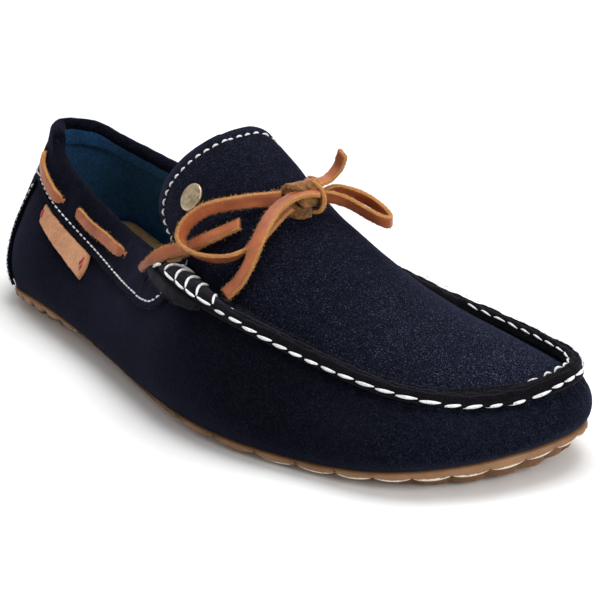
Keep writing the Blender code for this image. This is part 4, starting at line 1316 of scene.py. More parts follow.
def make_throat_tabs(look):
    """Ears of the band and the small tabs under both ends of the seam."""
    rows, fine = [], look.stitch
    ear = evenly(smooth_route([(a * EAR_STRETCH, b, 0) for a, b in EAR_EDGE], 0.25), 90)[0]
    tab = evenly(smooth_route([(a * STATION_MM, b, 0) for a, b in TAB_EDGE], 0.5), 70)[0]
    for name, corner, direction in (("Outer", OUTER, 1), ("Inner", INNER, -1)):
        t, deep = throat_station(corner, direction, ear[:, 0] / EAR_STRETCH), ear[:, 1]
        share = np.linspace(0, 1, 26)[:, None]
        drop = 2.0 + (deep - 2.0) * share + 0.15 * ripple(wall(t, 1.0), 4.0, 51) * share
        tt = np.broadcast_to(t, drop.shape)
        overlay("Band_Ear_" + name, tt, drop, GAP + 0.1, OVERLAY, "suede", ["Throat_Tab_" + name])
        inset = evenly(np.stack([t * STATION_MM, deep, 0 * t], -1), 90)[0]
        way = tangents(inset)
        normal = np.stack([-way[:, 1], way[:, 0], 0 * t], -1) * direction
        line = inset - normal * BAND_STITCH * np.sign(normal[:, 1].mean())
        line = line[line[:, 1] > 3.6]
        path, normal = over_wall(line[:, 0] / STATION_MM, line[:, 1], GAP + OVERLAY + 0.25)
        rows.append(along_row(path, normal, fine.fine_pitch / MM, 0.08, 1.0))
        fuzz("Band_Ear_Fibres_" + name, *over_wall(t, deep, GAP + 1.0), 6, 52, look.suede.fibre)
        t, deep = throat_station(corner, direction, tab[:, 0] / STATION_MM), tab[:, 1]
        share = np.linspace(0, 1, 12)[:, None]
        drop = 1.2 + (deep - 1.2 + 0.3 * ripple(wall(t, 1.0), 3.0, 53)) * share
        tt = np.broadcast_to(t, drop.shape)
        overlay("Throat_Tab_Suede_" + name, tt, drop, GAP + OVERLAY + 0.15, 1.1, "raw")
        edge, ways = over_wall(t, deep, GAP + OVERLAY + 0.9, 1.0)
        fuzz("Throat_Tab_Fibres_" + name, edge, ways, 9, 54, look.suede.fibre * 1.1)
    sew("Band_Ear_Stitches", *join_rows(*rows), (fine.fine_length, fine.fine_thread, 0.0002, 0.0004, 0.07),
        seed=4, taper=0.3)


# ---------------------------------------------------------------- stitching
# Loops of the throat's whipping, by the station of the outer foot and its height over the edge, the
# station of the inner foot and its distance from the edge, and the rise and shift of the crown
WHIPPING = [
    # foot, height, inner, inward, rise, shift
    (3.65, 2.4, 3.65, 9.2, 4.6, -3.0), (3.83, 2.6, 3.68, 9.2, 5.4, -4.6), (3.96, 2.3, 3.78, 9.3, 5.2, -5.4),
    (4.08, 2.2, 3.91, 9.1, 5.0, -5.0), (4.23, 2.8, 4.09, 6.4, 3.4, -1.0),
]
ROLL_START = (3.50, 1.4, 3.52, 8.6, 3.0, -1.5)
ROLL_END = (4.40, 1.2, 4.36, 3.6, 2.2, 0.0)
INNER_SHARES = (1, 0.3, 1, 0.66, 0.45, 1)     # the inner corner's loops, as shares of the outer's
# Loose turn of thread round the roll's end: station and height over the edge
LOOSE_TURN = [
    (3.375, -4.3), (3.40, -2.6), (3.426, -0.8), (3.455, 0.6), (3.495, 1.9), (3.54, 2.9), (3.585, 3.7),
]


def whipping_arc(corner, direction, foot, height, inner, inward, rise, shift, tree):
    """Route of one thread over the seam, from low on its outer face to the apron."""
    a, b = throat_station(corner, direction, np.array([foot, inner]))
    first = wall(a, 1.0) + outward(a) * 1.9 + UP * height
    last = wall(b, 1.0) - outward(b) * inward
    last[2] = instep_height(tree, last[None], [last[2]])[0] + 0.3
    middle = (first + last) / 2 + UP * rise + unit(last - first) * shift
    share = np.linspace(0, 1, 17)[:, None]
    return (1 - share)**2 * first + 2 * share * (1 - share) * middle + share**2 * last


def make_throat_rolls(look):
    """Swollen start of the seam at both corners of the throat, and the thread whipped over it."""
    tree = instep_tree()
    thick = look.stitch.seam_thread / MM / 2
    threads = []
    for name, corner, direction in (("Outer", OUTER, 1), ("Inner", INNER, -1)):
        knots = np.array([ROLL_START] + WHIPPING + [ROLL_END])
        if corner == INNER:
            twice = np.linspace(0, len(knots) - 1, 2 * len(knots) - 1)
            knots = read_along(np.arange(len(knots)), twice, knots) * INNER_SHARES
        fine = np.linspace(knots[0, 0], knots[-1, 0], 80)
        rows = read_along(knots[:, 0], fine, knots)
        arcs = np.array([whipping_arc(corner, direction, *row, tree) for row in rows])
        slack = np.abs(np.sin(math.pi * np.interp(fine, knots[:, 0], np.arange(len(knots)))))
        arch = np.sin(np.linspace(0, math.pi, 17))
        arcs[..., 2] += (0.75 * slack**0.7 - 0.55)[:, None] * (0.25 + 0.75 * arch)
        arcs[..., 2] += 0.12 * ripple(arcs, 4.0, 61) * arch
        floor = raised(arcs[:, ::-1], -1.8 - 1.6 * arch)
        roll = sweep("Throat_Roll_" + name, np.concatenate([arcs, floor], 1), ["raw"])
        settle(roll, "suede")
        loops = [whipping_arc(corner, direction, *place, tree) for place in knots[1:-1]]
        threads += [tube(loop + UP * 0.3, thick * 0.8) for loop in loops]
        side = outward(throat_station(corner, direction, 3.9))
        share = np.linspace(0.05, 0.88, 11)[:, None]
        for first, last in zip(loops, loops[1:]):
            path = first[0] * (1 - share) + last[0] * share
            path = path + side * 0.5 * np.sin(math.pi * share) - UP * 0.5 * share
            threads.append(tube(path, thick * 0.8))
        turn = smooth_route([(a, h, 0) for a, h in LOOSE_TURN], 0.3)
        a = throat_station(corner, direction, turn[:, 0])
        path = wall(a, 1.0) + outward(a) * 2.2 + UP * turn[:, 1:2]
        threads.append(tube(path + 0.15 * ripple(path, 1.5, 62)[:, None], thick * 0.9))
    whip = many_tubes("Throat_Whipping", threads, ["thread"])
    settle(whip, "suede")


def make_stitching(look):
    """Big stitches of the raised seam, and the fine rows of the collar band and the tongue."""
    sizes = look.stitch
    t = np.linspace(4.2, INNER - 0.85, 900)
    count = seam_count(t, sizes.seam_pitch / MM)
    at = np.interp(np.arange(0.5, count[-1]), count, t)
    ahead = unit(unit(wall(at + 0.02, 1.0) - wall(at - 0.02, 1.0)) + UP * 0.07)
    ahead = ahead * read_row(SEAM_PITCHES, at)[:, None]
    out = outward(at)
    long, thick = sizes.seam_length, sizes.seam_thread
    proud = 1.6 + 0.3 * (smoothstep(at, 6.2, 6.8) * (1 - smoothstep(at, 8.2, 8.8)))[:, None]
    spots = wall(at, 1.0) + out * proud + UP * read_row(OUTER_ROW, at)[:, None]
    sew("Seam_Stitches_Outer_Face", spots, ahead, out + UP * 0.3, (long, thick, 0.0004, 0.0004, 0.06),
        seed=11)
    spots = wall(at, 1.0) - out * 3.25 + UP * read_row(INNER_ROW, at)[:, None]
    past_toe = at > TOE + 0.3
    for name, pick, share in (("Near", ~past_toe, 0.75), ("Far", past_toe & (at < 10.2), 0.62)):
        sew("Seam_Stitches_Inner_Face_" + name, spots[pick], ahead[pick], (UP * 0.9 - out)[pick],
            (long * 0.8, thick * share, 0.0005, 0.0006, 0.1), seed=12)
    t = np.linspace(INNER - STATIONS + 0.08, OUTER - 0.1, 700)
    drop = collar_band_depth(t) - BAND_STITCH
    path, normal = over_wall(t, drop, BAND_CLEAR + OVERLAY - 0.1)
    sew("Collar_Band_Stitches", *along_row(path, normal, sizes.fine_pitch / MM),
        (sizes.fine_length, sizes.fine_thread, 0.0002, 0.0004, 0.07), seed=13, taper=0.3)
    v = np.concatenate([np.linspace(-0.93, -0.5, 160), np.linspace(-0.5, 0.93, 300)[1:]])
    u = flap_rows(v, FLAP_STITCH)
    path = off_apron(u, v, 0.05)
    sew("Tongue_Stitches", *along_row(path, unit(path - apron(u, v)), sizes.tongue_pitch / MM),
        (sizes.tongue_length, sizes.tongue_thread, 0.0003, 0.0004, 0.06), seed=14)


# ---------------------------------------------------------------- lace
# Routes of the lace's lengths through the air, with the turn of its width in degrees
CROSS_OUTER = [
    # x, y, z, turn
    (116.8, -41.0, 44.6, -15), (122.4, -41.0, 48.9, -15), (128.0, -39.7, 52.7, -15),
    (133.5, -38.0, 55.0, -12), (138.9, -36.8, 57.0, -8), (144.6, -36.5, 60.4, 0), (149.6, -35.0, 63.4, 0),
    (157.5, -28.6, 68.4, 0),
]
CROSS_INNER = [
    (111.6, 31.9, 39.3, 0), (118.5, 33.8, 45.0, 0), (126.0, 31.2, 50.2, 0), (133.5, 27.2, 57.3, 0),
    (140.0, 22.2, 65.4, 0), (146.0, 17.2, 70.2, 0), (151.5, 12.4, 72.6, 0),
]
LOOP_OUTER = [
    (162.2, -13.2, 75.2, 90), (154.4, -23.6, 74.6, 90), (144.7, -31.0, 71.8, 90), (138.9, -35.0, 67.2, 90),
    (137.4, -38.2, 62.8, 90), (141.2, -41.1, 60.0, 90), (149.5, -42.2, 58.9, 90), (157.6, -41.2, 59.2, 90),
    (163.6, -38.0, 60.4, 70), (166.0, -34.0, 62.2, 40), (166.6, -29.6, 64.1, 10), (166.6, -24.6, 67.1, 0),
    (165.9, -17.7, 70.6, 0), (165.0, -13.0, 72.0, 0),
]
END_OUTER = [
    (173.6, -5.6, 77.6, 0), (171.0, -9.2, 78.0, 0), (168.6, -14.6, 76.9, 0), (168.2, -21.9, 73.9, 0),
    (171.2, -30.2, 69.4, 0), (172.6, -34.8, 64.5, 0), (172.1, -37.8, 59.1, 0), (170.3, -40.5, 53.9, 0),
    (167.4, -44.2, 49.5, 0),
]
# The inner side's lace: its loop, its turn in the knot and its end, each with the way its width points
INNER_LACE = [
    # points, width's way
    ([(167.4, -4.6, 74.6), (169.2, -1.2, 74.3), (171.6, 2.4, 73.6), (174.6, 5.4, 72.2), (178.4, 6.6, 71.0),
      (184.2, 7.0, 69.6), (189.2, 7.9, 68.4), (191.4, 9.8, 67.6), (190.0, 11.9, 68.0), (185.0, 12.8, 69.8),
      (177.4, 12.8, 71.8), (171.4, 10.0, 73.5), (168.0, 6.0, 74.5)], (0.32, -0.28, 0.90)),
    ([(165.6, 1.5, 74.6), (164.6, -2.6, 75.2), (165.4, -4.6, 76.6), (166.4, -2.2, 77.9)],
     (0.86, -0.36, 0.30)),
    ([(166.4, 1.6, 78.3), (166.4, 5.2, 78.9), (168.0, 8.2, 82.4), (170.4, 8.4, 88.0)], (0.98, -0.19, 0.0)),
]
KNOT = (167.5, -5.5, 74.8)    # middle of the knot
SHOE_AXIS = (-7.0, 30.0)      # y and z of the line that flat strips turn their backs to


def eased(across, centre):
    """The way of a strap's width, eased along it and squared to its run."""
    across = across.copy()
    for _ in range(12):
        across[1:-1] = (across[:-2] + 2 * across[1:-1] + across[2:]) / 4
    return squared(across, tangents(centre))


def strap_lie(route):
    """Centres of a strap and the way its width points, along a route with its turns in degrees."""
    path = smooth_route(route, 0.45)
    centre = path[:, :3]
    along = tangents(centre)
    back = centre - np.array([0, *SHOE_AXIS])
    back[:, 0] = 0
    back = squared(back, along)
    turn = np.radians(path[:, 3])[:, None]
    across = unit(np.cross(along, back)) * np.cos(turn) + back * np.sin(turn)
    return centre, eased(across, centre)


def twisted_lie(stretches):
    """Centres and widths of one strap through several stretches, each with the way its width points."""
    path = smooth_route([(*row[:3], *way) for route, way in stretches for row in route], 0.45)
    return path[:, :3], eased(path[:, 3:], path[:, :3])


STRAP_PROFILE = [
    # across, through, cut edge
    (0.0, 1.0, 0.0), (0.45, 1.0, 0.0), (0.78, 0.97, 0.15), (0.92, 0.82, 0.7), (1.0, 0.45, 1.0),
    (1.03, 0.0, 1.0), (1.0, -0.45, 1.0), (0.92, -0.82, 0.7), (0.78, -0.97, 0.15), (0.45, -1.0, 0.0),
]


def strap(name, centre, wide, look, seed, narrow=1.0, finish="lace"):
    """Leather strip with rounded, torn edges along centre, its width laid along wide."""
    half = np.broadcast_to(narrow, len(centre))[:, None] * look.lace.width / MM / 2
    thin_half = look.lace.thick / MM / 2
    along = tangents(centre)
    thin = np.cross(wide, along)
    profile = STRAP_PROFILE + [(-a, -b, e) for a, b, e in STRAP_PROFILE]
    run = run_length(centre)
    ring, edges, strip = [], [], []
    for k, (a, b, e) in enumerate(profile):
        p = centre + wide * a * half + thin * b * thin_half
        torn = e * (0.16 * ripple(p, 1.1, seed + k) + 0.14 * ripple(p, 0.6, seed + 50 + k))
        swell = (1 - e) * 0.08 * ripple(centre, 9.0, seed + 9)
        ring.append(p + wide * np.sign(a) * torn[:, None] + thin * (np.sign(b) * swell)[:, None])
        edges.append(np.full(len(run), e))
        strip.append(np.stack([run * 0.15, a * half[:, 0], np.full(len(run), b)], -1) * MM)
    return sweep(name, np.stack(ring, 1), [finish], edge=np.stack(edges, 1).ravel(),
                 strip=np.stack(strip, 1).reshape(-1, 3))


def strap_fibres(name, centre, wide, look, seed, per_mm=16, narrow=1.0):
    """Torn fibres on both edges of a strip."""
    half = np.broadcast_to(narrow, len(centre))[:, None] * look.lace.width / MM / 2
    path = np.concatenate([centre + wide * half, (centre - wide * half)[::-1]])
    ways = np.concatenate([wide, -wide[::-1]])
    fuzz(name, path, ways, per_mm, seed, 0.0007, 0.7, 0.00014, 1.1, "lint", "lace leather")


def lay_lace(name, centre, wide, look, seed, nodes, per_mm=16, narrow=1.0):
    """One length of lace with the torn fibres along its edges."""
    lace = strap(name + "_Leather", centre, wide, look, seed, narrow)
    settle(lace, "lace leather", *nodes)
    strap_fibres(name + "_Fibres", centre, wide, look, seed + 1, per_mm, narrow)
    return lace


BAND_LACE_NARROW = 0.80   # share of the lace's width that the band leaves free
BAND_LACE_TILT = 0.25     # how far its width leans off the band


def make_band_laces(look):
    """Lengths of lace that show on the band between two slits, their ends tucked under it."""
    for label, (start, end) in zip(("Rear", "Front"), WINDOWS):
        for side, mirror in (("Outer", 1), ("Inner", -1)):
            share = np.linspace(0, 1, 160)
            t = np.linspace(start - 0.05, end + 0.05, 160) * mirror
            run, first, last = (collar_run(q) * mirror for q in (t, start * mirror, end * mirror))
            past = np.maximum(first - run, run - last)
            sunk = 1.35 * smoothstep(past, -2.6, 0.9)
            drop = lace_drop(t) + 0.25 * ripple(wall(t, 1.0), 22.0, 71)
            flat = BAND_CLEAR + OVERLAY + look.lace.thick / MM / 2 + 0.12
            lift = flat + 0.45 * np.sin(math.pi * share) - sunk
            centre = below_rim(t, drop, lift)
            out = unit(below_rim(t, drop, lift + 1.0) - centre)
            wide = squared(np.cross(out, tangents(centre)) + mirror * BAND_LACE_TILT * out, tangents(centre))
            name = "Lace_Band_" + side + "_" + label
            narrow = BAND_LACE_NARROW * (1 - 0.45 * smoothstep(past, -2.2, 0.6))
            lay_lace(name, centre, wide, look, 72, [name], 6, narrow)


def make_crossings(look):
    """Lengths of lace from the band's front slits over the throat to the tongue's slits."""
    for side, route in (("Outer", CROSS_OUTER), ("Inner", CROSS_INNER)):
        centre, wide = strap_lie(route)
        centre, wide = evenly(centre, 110, wide)
        wide = squared(wide, tangents(centre))
        narrow = 0.4 + 0.6 * smoothstep(run_length(centre), 0.0, 15.0)
        name = "Lace_Cross_" + side
        lay_lace(name, centre, wide, look, 81, [name], narrow=narrow)


def join_pieces(name, pieces):
    """One piece of several that share one finish."""
    bm = bmesh.new()
    mesh = bpy.data.meshes.new(name)
    for piece in pieces:
        bm.from_mesh(piece.data)
    bm.to_mesh(mesh)
    bm.free()
    mesh.materials.append(pieces[0].data.materials[0])
    for piece in pieces:
        old = piece.data
        bpy.data.objects.remove(piece)
        bpy.data.meshes.remove(old)
    return placed(name, mesh)


# Turns of lace in the knot, by their points about its middle and the way their width points
KNOT_TURNS = {
    "strap": ([(1.2, 1.6, 5.4), (4.6, 1.9, 3.4), (5.9, 2.0, -0.2), (4.6, 1.5, -3.6), (0.8, 1.0, -5.0),
               (-3.2, 0.8, -3.8), (-5.0, 1.0, -0.2), (-3.4, 1.4, 3.8), (1.0, 1.7, 5.6)], (0.72, -0.58, 0.30)),
    "over": ([(-5.2, -4.8, 1.4), (-3.6, -4.4, 4.2), (-0.6, -3.6, 5.0), (2.6, -2.4, 4.4), (4.2, -1.4, 2.2)],
             (0.45, 0.86, 0.1)),
    "under": ([(-4.4, -5.4, -1.8), (-1.8, -5.8, -3.8), (1.8, -4.6, -4.4), (4.4, -2.6, -3.6)],
              (0.3, 0.9, 0.35)),
}


def knot_turn(key):
    """Centres and widths of one turn of the knot."""
    points, way = KNOT_TURNS[key]
    path = smooth_route(np.array(points) + KNOT, 0.4)
    return path, squared(np.broadcast_to(way, path.shape), tangents(path))


def knot_core():
    """Lumpy ball of packed lace in the middle of the knot."""
    mesh = bpy.data.meshes.new("Knot_Core")
    bm = bmesh.new()
    bmesh.ops.create_icosphere(bm, subdivisions=4, radius=1.0)
    for vert in bm.verts:
        p = np.array(vert.co) * (4.3, 4.9, 4.0)
        p = p * (1 + 0.07 * ripple(p, 4.0, 91) + 0.03 * ripple(p, 1.4, 92))
        vert.co = to_world([p + KNOT])[0]
    bm.to_mesh(mesh)
    bm.free()
    mesh.shade_smooth()
    mesh.materials.append(finish_of("knot"))
    return placed("Knot_Core", mesh)


def make_knot(look):
    """Knot of the bow: a packed core with the lace's rough side wound over it."""
    turns = [strap("Knot_" + key, *knot_turn(key), look, seed, finish="knot")
             for key, seed in (("over", 93), ("under", 94))]
    knot = join_pieces("Lace_Knot_Leather", [knot_core()] + turns)
    settle(knot, "lace leather", "Lace_Knot")
    belt = strap("Lace_Knot_Strap", *knot_turn("strap"), look, 97)
    settle(belt, "lace leather")
    strap_fibres("Lace_Knot_Fibres", *knot_turn("strap"), look, 98)
    strap_fibres("Lace_Knot_Fibres_Over", *knot_turn("over"), look, 99)
    return knot


def make_bow(look):
    """Bow: the knot, two loops and two cut ends, each a free length of lace."""
    knot = make_knot(look)
    for name, lie, nodes, far_end in (
            ("Lace_Loop_Outer", strap_lie(LOOP_OUTER), ["Lace_Loop_Outer"], "knot"),
            ("Lace_End_Outer", strap_lie(END_OUTER), ["Lace_End_Outer"], "bare"),
            ("Lace_Loop_Inner", twisted_lie(INNER_LACE), ["Lace_Loop_Inner", "Lace_End_Inner"], "bare")):
        centre, wide = lie
        centre, wide = evenly(centre, round(run_length(centre)[-1] / 0.45), wide)
        wide = squared(wide, tangents(centre))
        lace = lay_lace(name, centre, wide, look, 101, nodes)
        path = to_world(centre)
        run_length(path)[-1]


# ---------------------------------------------------------------- small trim
RIVET_PLACE = (0.962, -0.463)   # the apron's u and v
RIVET_RADIUS = 5.2
RIVET_PROFILE = [
    # share of the radius, lift
    (0.97, 0.1), (1.0, 0.45), (0.995, 0.95), (0.965, 1.22), (0.92, 1.3), (0.875, 1.2), (0.85, 1.12),
    (0.8, 1.16), (0.6, 1.34), (0.35, 1.46), (0.12, 1.5),
]
TAG_SPAN = (1.83, 2.60)         # stations of the side tag's ends
TAG_WIDTH = (7.0, 9.5)          # its width at both ends
TAG_SLANT = 0.03                # stations that its lower edge lies ahead of its upper one
# Red stitches on the tag, by their shares of its length and its width, and their slant
TAG_STITCHES = [
    (0.045, 0.42, 0.2), (0.045, 0.56, -0.1), (0.955, 0.30, 0.3), (0.945, 0.44, -0.4), (0.965, 0.58, 0.2),
]


def make_rivet():
    """Plain brass button on the tongue: a low dome inside a rolled rim."""
    u, v = (np.array([q]) for q in RIVET_PLACE)
    base = off_apron(u, v, 0.0)[0]
    axis = off_apron(u, v, 1.0)[0] - base
    across = unit(np.cross(axis, UP))
    third = np.cross(axis, across)
    turn = np.linspace(0, 2 * math.pi, 64, endpoint=False)
    spoke = np.cos(turn)[:, None] * across + np.sin(turn)[:, None] * third
    ring = [base + spoke * radius * RIVET_RADIUS + axis * lift for radius, lift in RIVET_PROFILE]
    rivet = sweep("Rivet_Brass", ring, ["brass"])
    settle(rivet, "brass", "Rivet")


def tag_grid(rows, cols):
    """Stations and drops of the side tag."""
    t = np.linspace(*TAG_SPAN, cols)
    across = np.linspace(0, 1, rows)[:, None]
    drop = collar_band_depth(t) + 0.7 + across * np.linspace(*TAG_WIDTH, cols)
    ends = 0.022 * np.sin(math.pi * across) * np.linspace(-1, 1, cols)**9
    return t + across * TAG_SLANT + ends, drop


def make_side_tag():
    """Small tan tag sewn below the band, bare, with red thread at both ends."""
    rows, cols = 30, 90
    t, drop = tag_grid(rows, cols)
    rough = 0.12 * ripple(below_rim(t, drop, 0.0), 1.6, 111)
    rough[2:-2, 2:-2] = 0
    overlay("Side_Tag_Leather", t, drop + rough, GAP, 1.35, "tag", ["Side_Tag"], "tag leather", 0.16, 112)
    face = GAP + 1.45
    spots, along, up = [], [], []
    for share_along, share_across, tilt in TAG_STITCHES:
        place = round(share_across * (rows - 1)), round(share_along * (cols - 1))
        at, deep = t[place], drop[place]
        p, normal = over_wall(at, deep, face)
        down = unit(below_rim(at, deep + 1.0, face) - p)
        ahead = unit(below_rim(at + 0.02, deep, face) - p)
        spots.append(p)
        along.append(unit(down + tilt * ahead))
        up.append(normal)
    sew("Side_Tag_Stitches", np.array(spots), np.array(along), np.array(up),
        (0.0026, 0.00075, 0.0003, 0.0004, 0.1), "red", "tag leather", 5)


# ---------------------------------------------------------------- sole
HEEL_END, FORE_START = 0.355, 0.49   # share of the way to the toe where the treads stop
HEEL_LOBES, FORE_LOBES = 12, 11
SAMPLES = 14                         # points to each lobe
TREAD_INSET = 3.6                    # tread's edge inside the feather line
RECESS = 0.9                         # how deep the nubs' bed lies in the tread
NUB_PITCH = 2.35                     # from one nub to the next, in nubs' radii
SOLE_LENGTH = 270


def sole_shares():
    """Samples from heel to toe, several to each lobe of the tread, and each sample's lobe phase."""
    heel = np.linspace(0, HEEL_END, SAMPLES * HEEL_LOBES + 1)
    waist = np.linspace(HEEL_END, FORE_START, 41)[1:-1]
    fore = np.linspace(FORE_START, 1, SAMPLES * FORE_LOBES + 1)
    phase = [np.arange(len(heel)) / SAMPLES, np.full(len(waist), 0.5), np.arange(len(fore)) / SAMPLES]
    return np.concatenate([heel, waist, fore]), np.concatenate(phase)


def ground_edges(w, out):
    """Points of both edges of a layer under the foot, out millimetres outside the feather line."""
    pair = []
    for t in (w * TOE, STATIONS - w * (STATIONS - TOE)):
        pair.append((t, last_curve(t)[..., :3] + outward(t) * np.asarray(out)[..., None]))
    return pair


def deck_height(share, z):
    """Underside of the sole across its width."""
    inside = np.clip(np.minimum(share, 1 - share) / 0.12, 0, 1)
    return np.where(inside > 0, np.maximum(z - 0.8 * inside, 0.0), z)


# Dried cement near the top edge, painted shade on the tread and a painted highlight on the forefoot's
# scallops, level by level down the side strip from its top edge to the tread
SOLE_CEMENT_AND_PAINTED_LIGHT = [
    # all round (below zero: painted shade on the tread), more on the forefoot's lobes (painted highlight)
    (0.25, 0.0), (0.30, 0.0), (0.12, 0.0), (0.0, 0.0), (0.0, 0.0), (0.20, 0.60), (0.40, 0.75), (0.30, 0.50),
    (-0.3, 0.0), (-0.6, 0.0), (-0.6, 0.0),
]


def make_outsole(look):
    """Gum rubber unit: scalloped side strip, cut lugs at the heel, and a nubbed tread."""
    w, phase = sole_shares()
    depth = look.sole.notch / MM
    cusp = 1 - np.abs(np.sin(math.pi * phase))**0.6
    heel = 1 - smoothstep(w, HEEL_END - 0.03, HEEL_END)
    gap = np.clip(np.abs(np.cos(math.pi * phase)), 0, 1)**14 * heel
    rings, glue = [], []
    for level, (plain, pale) in enumerate(SOLE_CEMENT_AND_PAINTED_LIGHT):
        edges = []
        for t, foot in ground_edges(w, np.zeros_like(w)):
            edge, strip, tread = np.moveaxis(sole_curve(t), -1, 0)
            top = foot[:, 2] - GAP - 0.05
            strip = np.minimum(strip, top - 0.9)
            low = np.minimum(strip + 0.75 * depth * cusp + 1.5 * gap, top - 0.5)
            tread = np.maximum(tread, 0.05)
            root = 0.6 - TREAD_INSET - depth * cusp
            out, z = (
                (edge - 1.6, top + 0.1),
                (edge - 0.5, top + 0.05),
                (edge - 0.05, top - 0.25),
                (edge + 0.15, top - 0.7),
                (edge + 0.22 - 2.0 * gap, np.maximum((top + low) / 2, low + 1.1)),
                (edge + 0.14 - 2.3 * gap, low + 0.6),
                (edge - 0.35 - 2.3 * gap, low + 0.02),
                (edge - 1.1 - 1.4 * gap, low),
                (np.minimum(root + 0.4, edge - 1.5) - 0.6 * gap, np.minimum(strip - 0.15, low)),
                (-TREAD_INSET + 0.25 - depth * cusp, np.minimum(tread + 0.9, strip)),
                (-TREAD_INSET - 0.15 - depth * cusp, tread),
            )[level]
            p = foot + outward(t) * out[:, None]
            p[:, 2] = np.maximum(z, 0.0)
            edges.append(p)
        edges[1][0] = edges[0][0]
        edges[1][-1] = edges[0][-1]
        rings.append(edges)
        # Cement all round, a painted highlight on the middles of the forefoot's lobes, and painted shade on
        # the tread where the value is below zero
        half = plain + pale * smoothstep(w, FORE_START + 0.05, FORE_START + 0.15) * (1 - cusp)
        glue.append(np.concatenate([half, half[-2:0:-1]]))
    loops = [np.concatenate([a, b[-2:0:-1]]) for a, b in rings]
    count = len(loops[0])
    faces = grid_faces(len(loops), count, wrap_cols=True)
    verts, cement_and_painted_light_values = [np.concatenate(loops)], [np.concatenate(glue)]
    first = len(loops) * count
    for (a, b), cols, under in ((rings[0], 3, False), (rings[-1], 15, True)):
        share = np.linspace(0, 1, cols)[None, :]
        plate = between(a, b, share)
        if under:
            inner = smoothstep(np.minimum(share, 1 - share), 0.0, 0.16)
            plate[..., 2] = deck_height(share, plate[..., 2]) + RECESS * inner
        faces += grid_faces(len(w), cols, first)
        verts.append(plate.reshape(-1, 3))
        cement_and_painted_light_values.append(np.zeros(plate.shape[0] * cols))
        first += plate.shape[0] * cols
    sole = add_piece("Outsole_Rubber", np.concatenate(verts), faces, ["rubber"], weld=0.004,
                     glue=np.concatenate(cement_and_painted_light_values))
    settle(sole, "rubber", "Outsole")


def make_nubs(look):
    """Rounded nubs set in rows under the heel and the forefoot."""
    spots = []
    pitch = NUB_PITCH * look.sole.nub / MM
    for start, end in ((0.04, HEEL_END - 0.01), (FORE_START + 0.02, 0.90)):
        w = np.linspace(start, end, round((end - start) * SOLE_LENGTH / pitch))
        (_, left), (_, right) = ground_edges(w, np.full_like(w, -TREAD_INSET))
        (t_left, _), (t_right, _) = ground_edges(w, np.zeros_like(w))
        left[:, 2] = np.maximum(sole_curve(t_left)[:, 2], 0.05)
        right[:, 2] = np.maximum(sole_curve(t_right)[:, 2], 0.05)
        for k in range(len(w)):
            span = np.linalg.norm(right[k] - left[k])
            count = max(1, int((span - 7.0) // pitch))
            across = 0.10 + 0.80 * (np.arange(count) + 0.5 + 0.25 * (k % 2)) / (count + 0.25)
            p = left[k] * (1 - across)[:, None] + right[k] * across[:, None]
            p[:, 2] = deck_height(across, p[:, 2]) + RECESS + 0.05
            spots.append(p)
    nubs = grow("Outsole_Nubs", tree_of("nub"), np.concatenate(spots), {}, Radius=look.sole.nub,
                Depth=(RECESS + 0.05) * MM, Unevenness=0.12, Seed=6, Material=finish_of("rubber"))
    settle(nubs, "rubber")


# How far the sock's inner edge has curled up at the heel
SOCK_CURL = [
    # station, rise
    (12.60, 0.0), (12.90, 0.8), (13.06, 3.0), (13.20, 5.1), (13.33, 7.2), (13.43, 8.9), (13.52, 9.3),
    (13.68, 9.6), (13.80, 8.0), (14.10, 0.0),
]


def make_insole():
    """Leather sock: dished, turned up a little at its edges."""
    w = sole_shares()[0][::4]
    share = np.linspace(0, 1, 25)[None, :]
    (_, outer), (station, inner) = ground_edges(w, np.full_like(w, -2.6))
    plate = between(outer, inner, share)
    curl = read_row(SOCK_CURL, station)[:, None]
    face = 3.3 + 1.2 * np.abs(2 * share - 1)**3 + 0.12 * ripple(plate, 14.0, 121)
    face = face + curl * smoothstep(share, 0.55, 1.0)
    back = 0.4 + 0.8 * curl * smoothstep(share, 0.6, 1.0)
    verts, faces = sheet_solid(raised(plate, face), raised(plate, back))
    sock = add_piece("Insole_Leather", verts, faces, ["sock"], weld=0.004)
    settle(sock, "sock leather", "Insole")


# ---------------------------------------------------------------- raw edges
def make_raw_edges(look):
    """Loose fibres along the band, the rolled rim, the raised seam and the tongue."""
    fibre = look.suede.fibre
    t = np.linspace(INNER - STATIONS + 0.1, OUTER - 0.05, 700)
    edge, ways = over_wall(t, collar_band_depth(t), BAND_CLEAR + 0.9, 1.0)
    fuzz("Collar_Band_Fibres", edge, ways, 5, 131, fibre * 0.8)
    edge, side, rise = rim_frame(t)
    roll, thin = look.suede.roll / MM, rim_thinning(t)
    crest = edge + side * (-WALL / 2 + 0.5 * (roll - thin)) + rise * (0.4 + 0.85 * roll - 1.2 * thin)
    fuzz("Collar_Rim_Fibres", crest, side * 0.5 + rise * 0.85, 9, 132, fibre * 0.7, 1.1)
    t = seam_stations(300)
    for name, place, height, lean, seed in (("Outer", 0.3, 4.3, 0.4, 133), ("Inner", -1.6, 4.4, -0.3, 134)):
        crest = wall(t, 1.0) + outward(t) * place + UP * height
        fuzz("Seam_Fibres_" + name, crest, outward(t) * lean + UP, 7, seed, fibre * 0.9)
    v = np.linspace(-0.97, 0.97, 500)
    edge_u = reached(np.full_like(v, 0.9995), v)
    crest = off_apron(edge_u, v, -WALL / 2)
    back = unit(crest - off_apron(edge_u - 0.01, v, -WALL / 2))
    fuzz("Tongue_Fibres", crest, back, 12, 135, fibre, 0.7)


# ---------------------------------------------------------------- stage
TARGET = (-0.0066, 0.02834, 0.0185)   # middle of the view
LIGHTS = [
    # name, place, size, share of the key's power, share of the fill's
    ("Key", (-0.05, 0.25, 1.05), 0.8, 1.0, 0.0),
    ("Fill", (1.10, 0.05, 0.50), 0.6, 0.0, 1.0),
    ("Back", (-0.85, 0.25, 0.60), 0.6, 0.0, 0.15),
]


